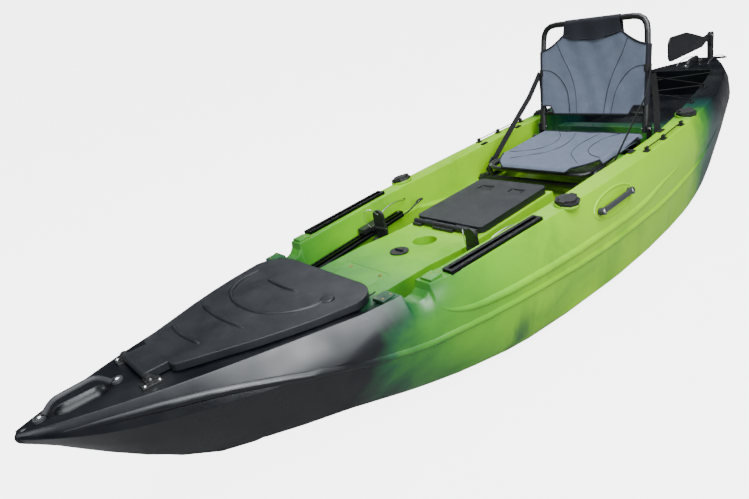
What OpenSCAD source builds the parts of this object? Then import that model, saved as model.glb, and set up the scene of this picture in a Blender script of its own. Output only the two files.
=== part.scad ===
// Sit-on-top fishing kayak: moulded hull, hinged bow hatch, foot-steered rudder,
// centre console hatch and a folding frame seat.
// Stations run from the bow tip (0) to the stern along +Y; +X is port, +Z is up.

/* [Hull] */
// Length of the moulded hull
hull_len = 3660; // [3300:10:3900]
// Beam at the widest station
hull_beam = 900; // [840:10:960]
// Height of the gunwale amidships above the keel
gunwale_h = 420; // [400:5:450]
// Thickness of the moulded wall
wall = 4.5; // [4:0.5:8]
// Height of the footwell floor
floor_h = 130; // [110:5:160]
// Height of the seat floor
seat_floor_h = 250; // [235:5:260]
// Height of the side ledges that carry the seat
ledge_h = 285; // [275:1:295]
// Height of the tank well floor
tank_floor_h = 300; // [280:5:330]

/* [Bow hatch] */
// Thickness of the bow hatch lid
lid_t = 22; // [16:1:28]
// Half width of the lid at its rear
lid_rear_w = 272; // [250:2:280]
// Half width of the lid at its front
lid_front_w = 112; // [100:2:120]
// Half width of the hinge tongue
tongue_w = 76; // [60:2:84]
// Diameter of the bow hatch hinge pin
hatch_pin_d = 8; // [6:1:10]

/* [Console] */
// Half width of the console hatch lid
pod_w = 162; // [130:2:166]
// Length of the console hatch lid
pod_len = 400; // [340:5:405]
// Thickness of the console hatch lid
pod_t = 26; // [20:1:32]
// Radius of the cup holder
cup_r = 44; // [36:1:48]
// Radius of the console plug
plug_r = 27; // [20:1:30]

/* [Rod holders] */
// Radius of the rod holder bore
rod_r = 21; // [18:0.5:22]
// Length of the rod holder tube
rod_len = 190; // [140:5:200]
// Outboard lean of each rod holder, degrees
rod_lean = 8; // [4:1:10]

/* [Foot steering] */
// Length of the foot rail
rail_len = 560; // [480:10:600]
// Diameter of the pedal pivot pin
pedal_pin_d = 6; // [5:0.5:8]

/* [Seat] */
// Diameter of the seat frame tube
tube_d = 25; // [20:1:28]
// Distance between the two sides of the back frame, centre to centre
seat_w = 500; // [460:10:520]
// Height of the back frame above its pivots
back_h = 455; // [400:5:500]
// Lean of the back frame from upright, degrees
back_lean = 9; // [0:1:15]
// Height of the seat pan tubes
pan_h = 360; // [350:1:375]
// Diameter of the back frame pivot bolts
pivot_d = 8; // [6:1:10]

/* [Rudder] */
// Distance from the transom to the rudder post
rudder_back = 42; // [38:1:60]
// Diameter of the rudder post
post_d = 12; // [10:1:16]
// Length of the rudder blade from its pivot
blade_len = 500; // [400:10:520]
// Thickness of the rudder blade
blade_t = 8; // [5:1:10]

/* [Fittings] */
// Length of each gear track
track_len = 405; // [300:5:420]
// Diameter of the deck bungee
bungee_d = 5; // [4:0.5:6]
// Running clearance between parts that touch
gap = 0.3; // [0.2:0.05:0.5]

/* [Hidden] */
$fn = 40;

overhang = rudder_back + 46;
y0 = (hull_len + overhang) / 2;     // the origin's station: middle of the overall length
ks = hull_len / 3660;               // stations stretch with the hull
kb = hull_beam / 900;               // half widths stretch with the beam
kz = gunwale_h / 420;               // sheer heights follow the gunwale
function at(s) = s * ks;

// Smooth curve through [station, value] pairs
function seg(t, s, i = 0) = (i >= len(t) - 2 || s < t[i + 1][0]) ? i : seg(t, s, i + 1);
function slope(t, i) =
  (i <= 0 || i >= len(t) - 1) ? 0 : (t[i + 1][1] - t[i - 1][1]) / (t[i + 1][0] - t[i - 1][0]);
function end_slope(t, i) =
  i <= 0 ? (t[1][1] - t[0][1]) / (t[1][0] - t[0][0])
  : i >= len(t) - 1 ? (t[i][1] - t[i - 1][1]) / (t[i][0] - t[i - 1][0]) : slope(t, i);
function curve(t, s) =
  let (i = seg(t, s), a = t[i], b = t[i + 1], h = b[0] - a[0], u = min(1, max(0, (s - a[0]) / h)),
       m0 = end_slope(t, i) * h, m1 = end_slope(t, i + 1) * h)
  (2 * u * u * u - 3 * u * u + 1) * a[1] + (u * u * u - 2 * u * u + u) * m0
  + (3 * u * u - 2 * u * u * u) * b[1] + (u * u * u - u * u) * m1;

// Hull lines on a 3660 mm hull, by station: widest half beam and its height
beam_w = [[0, 16], [60, 58], [150, 108], [300, 176], [500, 250], [800, 334], [1100, 398], [1500, 440],
          [1850, 450], [2300, 446], [2700, 412], [3000, 354], [3300, 258], [3500, 156], [3600, 92], [3660, 48]];
beam_z = [[0, 458], [150, 412], [300, 384], [600, 345], [1000, 310], [1400, 282], [1850, 248], [2200, 262],
          [2600, 300], [3000, 325], [3660, 340]];
// Edge of the deck and its height
deck_w = [[0, 9], [60, 42], [150, 84], [300, 146], [500, 208], [800, 292], [1100, 376], [1500, 410],
          [1850, 422], [2300, 418], [2700, 384], [3000, 324], [3300, 232], [3500, 134], [3600, 76], [3660, 36]];
deck_z = [[0, 472], [280, 456], [400, 448.7], [600, 436.4], [800, 424.2], [860, 420.5], [915, 430], [1050, 428],
          [1100, 426], [1500, 426], [1600, 424], [2100, 420], [2600, 422], [3000, 426], [3400, 430], [3660, 422]];
// The bow deck's middle, where the hatch lid lies
lid_z = [[0, 472], [280, 456], [905, 418], [3400, 430], [3660, 422]];
// Chine and its height
chine_w = [[0, 4], [60, 12], [150, 30], [300, 72], [500, 140], [700, 210], [1000, 312], [1400, 390],
           [1850, 420], [2300, 412], [2700, 372], [3000, 302], [3300, 198], [3500, 112], [3660, 30]];
// Underside of the side sponsons, which the hull rests on
sponson_z = [[0, 440], [300, 204], [500, 146], [700, 112], [900, 76], [1100, 42], [1300, 16], [1500, 0], [2350, 0],
             [2500, 8], [2700, 44], [2900, 88], [3100, 138], [3300, 186], [3660, 276]];
chine_z = [[0, 442], [60, 392], [150, 310], [300, 205], [500, 150], [700, 124], [1000, 94], [1400, 54],
           [1850, 34], [2300, 36], [2550, 50], [2800, 90], [3000, 128], [3300, 190], [3500, 236], [3660, 280]];
// The keel, flat where the hull rests on the ground
keel_z = [[0, 440], [67, 388], [136, 318], [193, 264], [266, 200], [363, 130], [463, 82], [579, 50], [800, 20],
          [1100, 3], [1300, 0], [1320, 0], [2380, 0], [2400, 0], [2700, 8], [3000, 36], [3300, 96], [3500, 160],
          [3620, 222], [3660, 256]];
// Inner edge of the gunwale along the cockpit and the tank well
inner_w = [[900, 262], [1000, 296], [1100, 308], [1300, 326], [1600, 346], [1850, 344], [2300, 344], [2600, 312],
           [2720, 288], [3000, 236], [3200, 190], [3360, 146]];

bow_wall = 905;     // the cockpit's front wall
well_end = 3345;    // the tank well's rear wall
wall_run = 10;      // how far a moulded wall leans along the hull
console_front = 372;
console_back = 344;
step_end = 1870;    // where the console and footwells end
seat_end = 2600;    // the rear of the seat floor
rail_ledge = 336;   // the ledge beside each footwell
bulk_h = 352;       // the bulkhead behind the seat
console_h = [[900, console_front], [1180, 364], [1300, 352], [1400, console_back], [step_end, console_back],
             [step_end + 22, seat_floor_h], [seat_end, seat_floor_h], [seat_end + 25, bulk_h],
             [seat_end + 85, bulk_h], [seat_end + 115, tank_floor_h], [3700, tank_floor_h]];
foot_w = 270;       // half width of the footwell floor's outer edge
tunnel = 30;        // height of the channels beside the keel
wall_lean = 12;     // draft of the cockpit's side walls
hull_end = 3660;
side_handle_s = 1840;
foot_h = [[900, floor_h + 25], [1000, floor_h + 6], [1100, floor_h], [step_end - 50, floor_h],
          [step_end + 22, seat_floor_h], [seat_end, seat_floor_h], [seat_end + 25, bulk_h],
          [seat_end + 85, bulk_h], [seat_end + 115, tank_floor_h], [3700, tank_floor_h]];
side_h = [[900, rail_ledge], [1580, rail_ledge], [1660, ledge_h], [step_end, ledge_h], [seat_end, ledge_h],
          [seat_end + 25, bulk_h], [seat_end + 85, bulk_h], [seat_end + 115, tank_floor_h], [3700, tank_floor_h]];
ledge_in = [[900, 40], [1700, 42], [1800, 84], [3700, 84]];
console_w = 174;    // half width of the console's top
well_w = 186;       // half width of the console at the footwell floor
notch_s = 968;      // a round notch across each gunwale
notch_r = 42;
function notch(s) = abs(s - notch_s) < notch_r ? sqrt(notch_r * notch_r - pow(s - notch_s, 2)) : 0;
function recess(s) = s > side_handle_s - 150 && s < side_handle_s + 150 ? 24 : 0;

// The lowest of a height within one wall of the station, so an inner face clears each step
function low(t, s, g) = g == 0 ? lookup(s, t) : min(lookup(s - g, t), lookup(s, t), lookup(s + g, t)) - g;
function deep(s, g) = g == 0 ? notch(s) : max(notch(s - g), notch(s), notch(s + g));
function in_well(s, g) = s > bow_wall + wall_run / 2 - g && s < well_end - wall_run / 2 + g;
function deck_at(s) = curve(deck_z, s) * kz;
function lid_at(s) = lookup(s, lid_z) * kz;
function deck_half(s) = curve(deck_w, s) * kb;
function inner_half(s) = curve(inner_w, s) * kb;

// Bottom and side of half a section, from the keel up to the deck edge, g inside the surface
function shell_points(s, g) =
  let (b = curve(beam_w, s) * kb, c = curve(chine_w, s) * kb, d = deck_half(s),
       zk = curve(keel_z, s), zc = curve(chine_z, s), zb = curve(beam_z, s) * kz, zd = deck_at(s) - deep(s, g),
       kw = min(24, c * 0.3), t = min(tunnel, c * 0.1), p = g == 0 ? 0 : recess(s), zs = lookup(s, sponson_z))
  [[0, zk + g], [kw, zk + g], [c * 0.45, max(zk + t * 0.8, (zk + zs) / 2) + g],
   [c * 0.66, zs + g], [c * 0.9 - g / 2, zs + g], [c - g, zc + g / 2],
   [c + (b - c) * 0.6 - g, zc + (zb - zc) * 0.5], [b - g, zb],
   [b - (b - d) * 0.3 - g - p, zb + (zd - zb) * 0.6], [d - g - p, zd - g]];

// Deck of half a section, from the gunwale's inner edge to the middle
function deck_points(s, g) =
  in_well(s, g)
  ? let (i = inner_half(s), zd = deck_at(s) - deep(s, g), zl = low(side_h, s, g), zf = low(foot_h, s, g),
         zc = low(console_h, s, g), l = lookup(s, ledge_in), f = min(i - l - 6, foot_w),
         w = min(console_w, f * 0.7), v = min(well_w, f * 0.76))
    [[i + g, zd - g], [i - wall_lean + g, zl], [i - l + g, zl], [f + g, zf], [v - g, zf], [w - g, zc], [0, zc]]
  : let (d = deck_half(s), zd = lid_at(s) - g)
    [for (k = [0.88, 0.72, 0.58, 0.44, 0.3, 0.15, 0]) [d * k, zd]];

function half(s, g) = concat(shell_points(s, g), deck_points(s, g));
function ring(s, g) =
  let (h = half(s, g), n = len(h))
  concat([for (p = h) [p[0], at(s) - y0, p[1]]], [for (k = [n - 2 : -1 : 1]) [-h[k][0], at(s) - y0, h[k][1]]]);

// Closed skin through rings of equal length
module skin(rings) {
  n = len(rings[0]);
  m = len(rings);
  sides = [for (i = [0 : m - 2], k = [0 : n - 1])
    let (a = i * n + k, b = i * n + (k + 1) % n) each [[a, b, b + n], [a, b + n, a + n]]];
  polyhedron([for (r = rings) each r],
    concat(sides, [[for (k = [n - 1 : -1 : 0]) k]], [[for (k = [0 : n - 1]) (m - 1) * n + k]]), convexity = 12);
}

// Stations of the outer skin and of the hollow inside it
outer_s = [0, 30, 60, 105, 150, 220, 300, 400, 500, 600, 700, 800, 905, 915, notch_s - 42, notch_s - 36,
           notch_s - 20, notch_s, notch_s + 20, notch_s + 36, notch_s + 42, 1100, 1180, 1300, 1400, 1600, 1820,
           step_end, step_end + 22, 2100, 2300, 2450, 2520, seat_end, seat_end + 25, seat_end + 85,
           seat_end + 115, 2850, 3000, 3150, 3250, well_end - wall_run, well_end, 3450, 3560, 3620, hull_end];
inner_s = [230, 300, 400, 500, 600, 700, 800, 899, 909, notch_s - 48, notch_s - 36, notch_s - 20, notch_s,
           notch_s + 20, notch_s + 36, notch_s + 48, 1100, 1180, 1300, 1400, 1600, step_end - 50 - wall,
           step_end - wall, step_end + 22 + wall, 2100, 2300, 2450, 2520, seat_end - wall, seat_end + 25,
           seat_end + 85 + wall, seat_end + 115 + wall, 2850, 3000, 3150, 3250, well_end - wall_run + wall,
           well_end + wall, 3450, 3560, 3600];

// Moves children to a station, x out from the middle and z up
module put(s, x = 0, z = 0) { translate([x, at(s) - y0, z]) children(); }
// Both sides of the hull
module pair() { for (side = [1, -1]) scale_x(side) children(); }
module scale_x(side) { if (side > 0) children(); else mirror([1, 0, 0]) children(); }
// A cylinder along X or Y, centred
module rod_x(l, r) { rotate([0, 90, 0]) cylinder(h = l, r = r, center = true); }
module rod_y(l, r) { rotate([90, 0, 0]) cylinder(h = l, r = r, center = true); }
module slab(x, y, z) { translate([-x / 2, -y / 2, 0]) cube([x, y, z]); }
module round_slab(x, y, z, r) { linear_extrude(z) rounded(x, y, r); }
module rounded(x, y, r) {
  polygon([for (q = [0 : 3], k = [0 : 5])
    let (a = q * 90 + k * 18, cx = (q == 0 || q == 3 ? 1 : -1) * (x / 2 - r), cy = (q < 2 ? 1 : -1) * (y / 2 - r))
    [cx + r * cos(a), cy + r * sin(a)]]);
}
module dome_bolt(l, r = 5, head = 9) {
  translate([0, 0, -l]) cylinder(h = l, r = r);
  cylinder(h = 2, r = head);
  translate([0, 0, 2]) cylinder(h = 2.5, r1 = head, r2 = head * 0.55);
}

// A tube swept along points, with rounded corners
function unit(v) = v / norm(v);
function corner(a, b, c, r, n) =
  let (d = min(r, norm(a - b) / 2.2, norm(c - b) / 2.2), p = b + unit(a - b) * d, q = b + unit(c - b) * d)
  [for (k = [0 : n]) let (u = k / n) (1 - u) * (1 - u) * p + 2 * u * (1 - u) * b + u * u * q];
function bend(p, r, n = 4) =
  concat([p[0]], [for (i = [1 : len(p) - 2]) each corner(p[i - 1], p[i], p[i + 1], r, n)], [p[len(p) - 1]]);
function loop(p, r, n = 4) =
  let (m = len(p)) [for (i = [0 : m - 1]) each corner(p[(i + m - 1) % m], p[i], p[(i + 1) % m], r, n)];
function sides(p, closed, i = 0, s = undef) =
  i >= len(p) ? []
  : let (m = len(p), t = unit(p[closed ? (i + 1) % m : min(i + 1, m - 1)] - p[closed ? (i + m - 1) % m : max(i - 1, 0)]),
         u = i == 0 ? (abs(t[2]) < 0.9 ? cross(t, [0, 0, 1]) : cross(t, [1, 0, 0])) : s, v = unit(u - (u * t) * t))
    concat([[v, cross(t, v)]], sides(p, closed, i + 1, v));
module tube(p, r, n = 12, closed = false, flat = 1) {
  m = len(p);
  f = sides(p, closed);
  last = closed ? m - 1 : m - 2;
  polyhedron(
    [for (i = [0 : m - 1], k = [0 : n - 1]) p[i] + r * (cos(k * 360 / n) * f[i][0] + flat * sin(k * 360 / n) * f[i][1])],
    concat([for (i = [0 : last], k = [0 : n - 1])
        let (a = i * n + k, b = i * n + (k + 1) % n, c = ((i + 1) % m) * n + (k + 1) % n, d = ((i + 1) % m) * n + k)
        each [[a, c, b], [a, d, c]]],
      closed ? [] : [[for (k = [0 : n - 1]) k], [for (k = [n - 1 : -1 : 0]) (m - 1) * n + k]]), convexity = 8);
}
// A point in the part's frame
function pt(s, x, z) = [x, at(s) - y0, z];

// Places that more than one part shares
pin_s = 292;        // the bow hatch's hinge pin
hatch_end = 905;
lid_slope = atan((lid_at(hatch_end) - lid_at(280)) / (at(hatch_end) - at(280)));
knuckle_r = lid_t / 2;
seal_t = 4;
bracket_w = 22;     // width of each hatch hinge bracket
cup_s = 1335;
plug_s = 1212;
pod_s = 1445;
pod_z = console_back;
pod_pin = pod_t / 2;
scuppers = [[1150, 222], [3020, 120]];
scupper_r = 13;
track_a = [1098, 357];
track_b = [1476, 381];
rods = [[1625, 402], [2590, 356]];
rod_z = 430;
flange_r = 42;
flange_t = 10;
handle_len = 190;
handle_x = 446;
handle_z = 350;

module hatch_plane(s = pin_s) { put(s, 0, lid_at(s)) rotate([lid_slope, 0, 0]) children(); }
// Frame of a rod holder: z up its tube, leaning outboard
module rod_frame(i) {
  put(rods[i][0], rods[i][1] * kb, deck_at(rods[i][0]) + 6) rotate([0, rod_lean, 0]) children();
}
module handle_frame() { put(side_handle_s, handle_x * kb, handle_z * kz) rotate([0, 72, 0]) children(); }

// ---- Hull -------------------------------------------------------------------------------------
module kayak_hull() {
  $fn = 20;
  color("yellowgreen") difference() {
    union() {
      skin([for (s = outer_s) ring(s, 0)]);
      pair() for (i = [0, 1]) rod_frame(i) hull() {
        translate([0, 0, -6]) cylinder(h = 6, r = flange_r + 2);
        translate([0, 0, -40]) cylinder(h = 2, r = 18);
      }
      pair() for (s = [notch_s - 74, notch_s + 74])
        put(s, (inner_half(s) + deck_half(s)) / 2, deck_at(s) - 3) slab(44, 46, 11);
    }
    difference() {
      skin([for (s = inner_s) ring(s, wall)]);
      put(cup_s, 0, 290) cylinder(h = 80, r = cup_r + wall);
      pair() for (p = scuppers) put(p[0], p[1], -20) cylinder(h = 340, r = scupper_r + wall);
      pair() for (i = [0, 1]) rod_frame(i) hull() {
        translate([0, 0, -6]) cylinder(h = 6, r = flange_r - 4);
        translate([0, 0, -28]) cylinder(h = 2, r = 33);
      }
    }
    // the bow hatch, the console hatch, the cup and the plug hole
    hull() for (x = [1, -1]) {
      put(470, x * 110, 380) cylinder(h = 120, r = 30);
      put(820, x * 190, 380) cylinder(h = 120, r = 40);
    }
    hull() for (x = [1, -1], s = [pod_s + 45, pod_s + pod_len - 55])
      put(s, x * (pod_w - 50), pod_z - 30) cylinder(h = 60, r = 20);
    put(cup_s, 0, 296) cylinder(h = 90, r = cup_r);
    put(plug_s, 0, 330) cylinder(h = 60, r = plug_r);
    pair() {
      for (p = scuppers) put(p[0], p[1], -30) cylinder(h = 360, r = scupper_r);
      for (i = [0, 1]) rod_frame(i) translate([0, 0, -60]) cylinder(h = 80, r = rod_r + 4.5);
      handle_frame() hull() for (y = [-70, 70]) translate([0, y, 22]) scale([1, 1, 0.7]) sphere(r = 40);
      track_place() translate([0, 0, -2]) slab(track_w + 1, track_len + 2, 20);
      cable_holes();
    }
    // the scoop under the bow handle
    hull() for (s = [115, 185]) put(s, 0, deck_at(s) + 6) scale([1, 1, 0.8]) sphere(r = 32);
    // the instrument recess in front of the console
    put(1010, 0, 366) round_slab(200, 130, 30, 14);
  }
}

insert_x = 76;
insert_y = 44;
insert_bore = 5;
module brass_inserts() {
  color("goldenrod") for (x = [-1, 1], y = [-1, 1]) put(1010, x * insert_x, 366) translate([0, y * insert_y, 0])
    difference() {
      translate([0, 0, -0.01]) cylinder(h = 2.5, r = 6);
      translate([0, 0, -1]) cylinder(h = 5, r = insert_bore / 2);
    }
}

// ---- Bow --------------------------------------------------------------------------------------
bow_bolts = [53, 238];
pad_t = 8;
module bow_pad(s) { put(s, 0, deck_at(s)) rotate([lid_slope / 2, 0, 0]) children(); }
module bow_handle() {
  color("dimgray") {
    for (s = bow_bolts) bow_pad(s) difference() {
      translate([0, 0, 0.7]) cylinder(h = pad_t, r = 15);
      cylinder(h = pad_t + 1, r = 4);
    }
    z = deck_at(140);
    tube(bend([pt(67, 0, deck_at(53) + 10), pt(94, 0, z + 36), pt(196, 0, z + 36),
               pt(223, 0, deck_at(238) + 11)], 34), 8, 12);
  }
}
module bow_handle_bolts() {
  color("silver") for (s = bow_bolts) bow_pad(s) translate([0, 0, pad_t + 1]) dome_bolt(20, 3.9, 9);
}

module hatch_brackets() {
  color("black") pair() hatch_plane() translate([tongue_w + gap, 0, 0]) difference() {
    union() {
      translate([0, -26, 0.1]) cube([bracket_w + 14, 52, 6]);
      translate([0, -14, 0.1]) cube([bracket_w, 28, knuckle_r + seal_t]);
      translate([bracket_w / 2, 0, knuckle_r + seal_t]) rod_x(bracket_w, knuckle_r);
    }
    translate([bracket_w / 2, 0, knuckle_r + seal_t]) rod_x(bracket_w + 2, hatch_pin_d / 2 + 0.05);
    for (y = [-19, 19]) translate([bracket_w + 6, y, 0]) cylinder(h = 8, r = 3);
  }
}
module hatch_bracket_bolts() {
  color("silver") pair() hatch_plane() translate([tongue_w + gap, 0, 0])
    for (y = [-19, 19]) translate([bracket_w + 6, y, 6.4]) dome_bolt(16, 2.9, 6);
}
module hatch_pin() {
  color("silver") hatch_plane() translate([0, 0, knuckle_r + seal_t])
    rod_x(2 * (tongue_w + gap + bracket_w) + 4, hatch_pin_d / 2);
}
function arc(cx, cy, r, a, b, n = 6) =
  [for (k = [0 : n]) let (t = a + (b - a) * k / n) [cx + r * cos(t), cy + r * sin(t)]];
lid_len = at(hatch_end) - at(pin_s);
function lid_side(inset) = concat(
  arc(lid_front_w - 24, 82, 24 - inset / 2, -90, -25),
  [for (k = [1 : 4])
    let (u = k / 5, a = [lid_front_w + 4, 100], b = [lid_rear_w - 58, 270], c = [lid_rear_w, lid_len - 100])
    (1 - u) * (1 - u) * a + 2 * u * (1 - u) * b + u * u * c - [inset, 0]],
  arc(lid_rear_w - 90, lid_len - 90, 90 - inset, 0, 90));
function lid_outline(inset) =
  let (h = lid_side(inset), n = len(h)) concat(h, [for (k = [n - 1 : -1 : 0]) [-h[k][0], h[k][1]]]);
module lid_frame() { hatch_plane() translate([0, 0, knuckle_r + seal_t]) children(); }
module hatch_lid() {
  color("#202326") lid_frame() difference() {
    union() {
      translate([0, 0, -knuckle_r]) linear_extrude(lid_t) polygon(lid_outline(0));
      translate([-tongue_w, 0, -knuckle_r]) cube([2 * tongue_w, 75, lid_t]);
      rod_x(2 * tongue_w, knuckle_r);
      translate([0, 0, -knuckle_r - seal_t + 0.3]) linear_extrude(seal_t) difference() {
        polygon(lid_outline(24));
        polygon([for (p = lid_outline(24)) [p[0] * 0.93, lid_len / 2 + (p[1] - lid_len / 2) * 0.94]]);
      }
    }
    rod_x(2 * tongue_w + 2, hatch_pin_d / 2 + 0.05);
  }
}

// ---- Gunwales ---------------------------------------------------------------------------------
track_turn = atan((track_b[1] - track_a[1]) / (track_b[0] - track_a[0]));
track_w = 40;
track_h = 12;
slot_w = 14;
module track_place() {
  put((track_a[0] + track_b[0]) / 2, (track_a[1] + track_b[1]) / 2 * kb, deck_at(1300))
    rotate([0, 0, -track_turn]) children();
}
module track_body() {
  color("black") track_place() translate([0, 0, -1.7]) difference() {
    slab(track_w, track_len, track_h);
    translate([0, 0, 6]) slab(slot_w, track_len - 20, track_h);
    translate([0, 0, 3]) slab(26, track_len - 20, 5);
    for (y = [-0.44, 0, 0.44]) translate([0, y * track_len, -1]) cylinder(h = 8, r = 3);
  }
}
module gear_track_port() { track_body(); }
module gear_track_starboard() { scale_x(-1) track_body(); }
module track_screws() {
  color("silver") pair() track_place() for (y = [-0.44, 0, 0.44])
    translate([0, y * track_len, 1.4]) {
      cylinder(h = 2, r = 5.5);
      translate([0, 0, -20]) cylinder(h = 20, r = 2.9);
    }
}

module rod_holder(i) {
  rod_frame(i) difference() {
    union() {
      translate([0, 0, 0.1]) linear_extrude(flange_t) circle(r = flange_r, $fn = 8);
      translate([0, 0, -rod_len]) cylinder(h = rod_len + 2, r = rod_r + 4);
    }
    translate([0, 0, -rod_len + 5]) cylinder(h = rod_len + 40, r = rod_r);
  }
}
module rod_holders() { color("#1b1d20") pair() for (i = [0, 1]) rod_holder(i); }
cap_t = 7;
cap_hinge = 36;
module rod_cap(i, side) {
  color("#26292c") scale_x(side) rod_frame(i) translate([0, 0, flange_t + 0.4]) {
    cylinder(h = cap_t, r = 29);
    translate([0, cap_hinge - 12, 0]) slab(20, 24, cap_t);
    translate([0, -33, 0]) slab(22, 14, cap_t);
    translate([0, cap_hinge, cap_t / 2]) rod_x(22, cap_t / 2);
  }
}
module rod_cap_front_port() { rod_cap(0, 1); }
module rod_cap_front_starboard() { rod_cap(0, -1); }
module rod_cap_rear_port() { rod_cap(1, 1); }
module rod_cap_rear_starboard() { rod_cap(1, -1); }

module side_handles() {
  color("#33363a") pair() handle_frame() {
    for (y = [-1, 1]) translate([0, y * handle_len / 2, 0]) difference() {
      translate([0, 0, -1]) cylinder(h = 18, r = 13);
      translate([0, 0, -2]) cylinder(h = 22, r = 4);
    }
    translate([0, 0, 11]) rotate([90, 0, 0]) intersection() {
      cylinder(h = handle_len - 22, r = 10, center = true);
      cube([18, 14, handle_len], center = true);
    }
  }
}
module side_handle_bolts() {
  color("silver") pair() handle_frame() for (y = [-1, 1])
    translate([0, y * handle_len / 2, 17.3]) dome_bolt(30, 3.9, 9);
}

// ---- Foot steering ------------------------------------------------------------------------------
rail_ends = [948, 948 + rail_len];
function rail_x(s) = inner_half(s) - wall_lean - 20;
rail_s = (rail_ends[0] + rail_ends[1]) / 2;
rail_turn = atan((rail_x(rail_ends[1]) - rail_x(rail_ends[0])) / rail_len);
rail_w = 28;
rail_t = 14;
module rail_place() {
  put(rail_s, (rail_x(rail_ends[0]) + rail_x(rail_ends[1])) / 2, rail_ledge + 0.3)
    rotate([0, 0, -rail_turn]) children();
}
module foot_rails() {
  color("#1c1e21") pair() rail_place() difference() {
    slab(rail_w, rail_len, rail_t);
    translate([0, 0, 5]) slab(12, rail_len - 44, rail_t);
    for (y = [-1, 1]) translate([0, y * (rail_len / 2 - 11), -1]) cylinder(h = rail_t + 2, r = 3);
  }
}
module rail_screws() {
  color("silver") pair() rail_place() for (y = [-1, 1])
    translate([0, y * (rail_len / 2 - 11), rail_t + 0.2]) {
      cylinder(h = 3, r = 5.5);
      translate([0, 0, -30]) cylinder(h = 30, r = 2.8);
    }
}
slide_y = 100;
slide_h = 20;
pivot_x = 58;       // from the rail out to the pedal's middle
pivot_up_z = 20;    // from the rail's foot up to the pedal's pivot
pedal_w = 52;
module slide_place(side) { scale_x(side) rail_place() translate([0, slide_y, 0]) children(); }
module slide_body(side) {
  color("#222529") slide_place(side) difference() {
    union() {
      translate([0, 0, rail_t + 0.3]) slab(36, 104, slide_h);
      translate([0, 0, 6]) slab(11.4, 80, 12);
      translate([-23, 0, rail_t + 0.3]) slab(14, 36, slide_h);
    }
    translate([-20, 0, pivot_up_z + 4]) rod_x(36, pedal_pin_d / 2 + 0.05);
  }
}
module foot_slide_port() { slide_body(1); }
module foot_slide_starboard() { slide_body(-1); }
module pedal(side) {
  color("#15171a") slide_place(side) translate([-pivot_x, 0, pivot_up_z + 4]) difference() {
    union() {
      rod_x(pedal_w, 10);
      translate([0, 5, 0]) rotate([90, 0, 0]) round_slab(pedal_w, 150, 10, 24);
      translate([-pedal_w / 2, -6, -30]) cube([pedal_w, 12, 60]);
    }
    rod_x(pedal_w + 2, pedal_pin_d / 2 + 0.05);
  }
}
module toe_pedal_port() { pedal(1); }
module toe_pedal_starboard() { pedal(-1); }
pin_len = pivot_x + pedal_w / 2 - 3;
module toe_pin(side) {
  color("silver") slide_place(side) translate([-pivot_x - pedal_w / 2 - 2 + pin_len / 2, 0, pivot_up_z + 4])
    rod_x(pin_len, pedal_pin_d / 2);
}
module toe_pin_port() { toe_pin(1); }
module toe_pin_starboard() { toe_pin(-1); }

// Steering cables: from each pedal through the gunwale's inner wall, inside the hull and out by the stern
cable_d = 4;
cable_route = [
  pt(1352, 266, 376), pt(1385, 280, 394), pt(1440, 292, 404), pt(1500, 304, 396), pt(1545, 322, 380),
  pt(1565, 338, 374), pt(1584, 353, 368), pt(1640, 352, 340), pt(1760, 366, 300), pt(1900, 366, 268),
  pt(2100, 358, 262), pt(2350, 330, 258), pt(2540, 280, 252), pt(2700, 250, 268), pt(2900, 228, 276),
  pt(3100, 188, 282), pt(3280, 146, 282), pt(3362, 116, 296), pt(3420, 94, 385), pt(3450, 86, 412),
  pt(3490, 79, 438), pt(3560, 76, 446), pt(3640, 75, 436), pt(3690, 74, 420), pt(3702, 74, 412.6)];
module cable(side) { color("silver") scale_x(side) tube(bend(cable_route, 30, 2), cable_d / 2, 8); }
module steering_cable_port() { cable(1); }
module steering_cable_starboard() { cable(-1); }
module cable_holes() {
  tube([cable_route[4], cable_route[5], cable_route[6]], cable_d, 10);
  tube([cable_route[18], cable_route[19], cable_route[20]], cable_d, 10);
}

// ---- Console ------------------------------------------------------------------------------------
module console_plug() {
  color("#1b1d20") put(plug_s, 0, lookup(plug_s, console_h)) rotate([-4, 0, 0]) {
    translate([0, 0, 1.4]) cylinder(h = 5, r = plug_r + 6);
    translate([0, 0, -16]) cylinder(h = 18, r = plug_r - gap - 1);
    translate([0, 0, 6]) slab(34, 8, 7);
  }
}
pod_gap = 1;
module pod_frame() { put(pod_s, 0, pod_z + pod_gap + pod_pin) children(); }
latch_x = 74;
latch_y = pod_len - 66;
module pod_lid() {
  color("#202326") pod_frame() difference() {
    union() {
      translate([0, 14 + pod_len / 2, -pod_pin]) round_slab(2 * pod_w, pod_len, pod_t, 24);
      for (x = [-80, 80]) {
        translate([x, 0, 0]) rod_x(60, pod_pin - 3);
        translate([x - 30, 0, -7]) cube([60, 30, 14]);
      }
    }
    rod_x(400, 4.05);
    for (x = [-1, 1]) translate([x * latch_x, latch_y, pod_pin - 10]) round_slab(62, 38, 20, 8);
  }
}
module pod_hinge() {
  color("#2b2e31") pod_frame() {
    for (x = [-1, 0, 1]) difference() {
      union() {
        translate([x * 132, 0, 0]) rod_x(x == 0 ? 98 : 42, pod_pin - 3);
        translate([x * 132, -8, -pod_pin - pod_gap + 0.1]) slab(x == 0 ? 98 : 42, 22, 12);
      }
      translate([x * 132, 0, 0]) rod_x(200, 4.05);
    }
    rod_x(300, 4);
  }
}
module pod_latch(side) {
  color("#0f1012") pod_frame() translate([side * latch_x, latch_y, pod_pin - 9.7]) {
    translate([0, -12, 4.5]) rod_x(54, 4);
    translate([0, 2, 3]) slab(50, 28, 5);
    translate([0, 15, 3]) slab(34, 6, 9);
  }
}
module pod_latch_port() { pod_latch(1); }
module pod_latch_starboard() { pod_latch(-1); }

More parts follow.
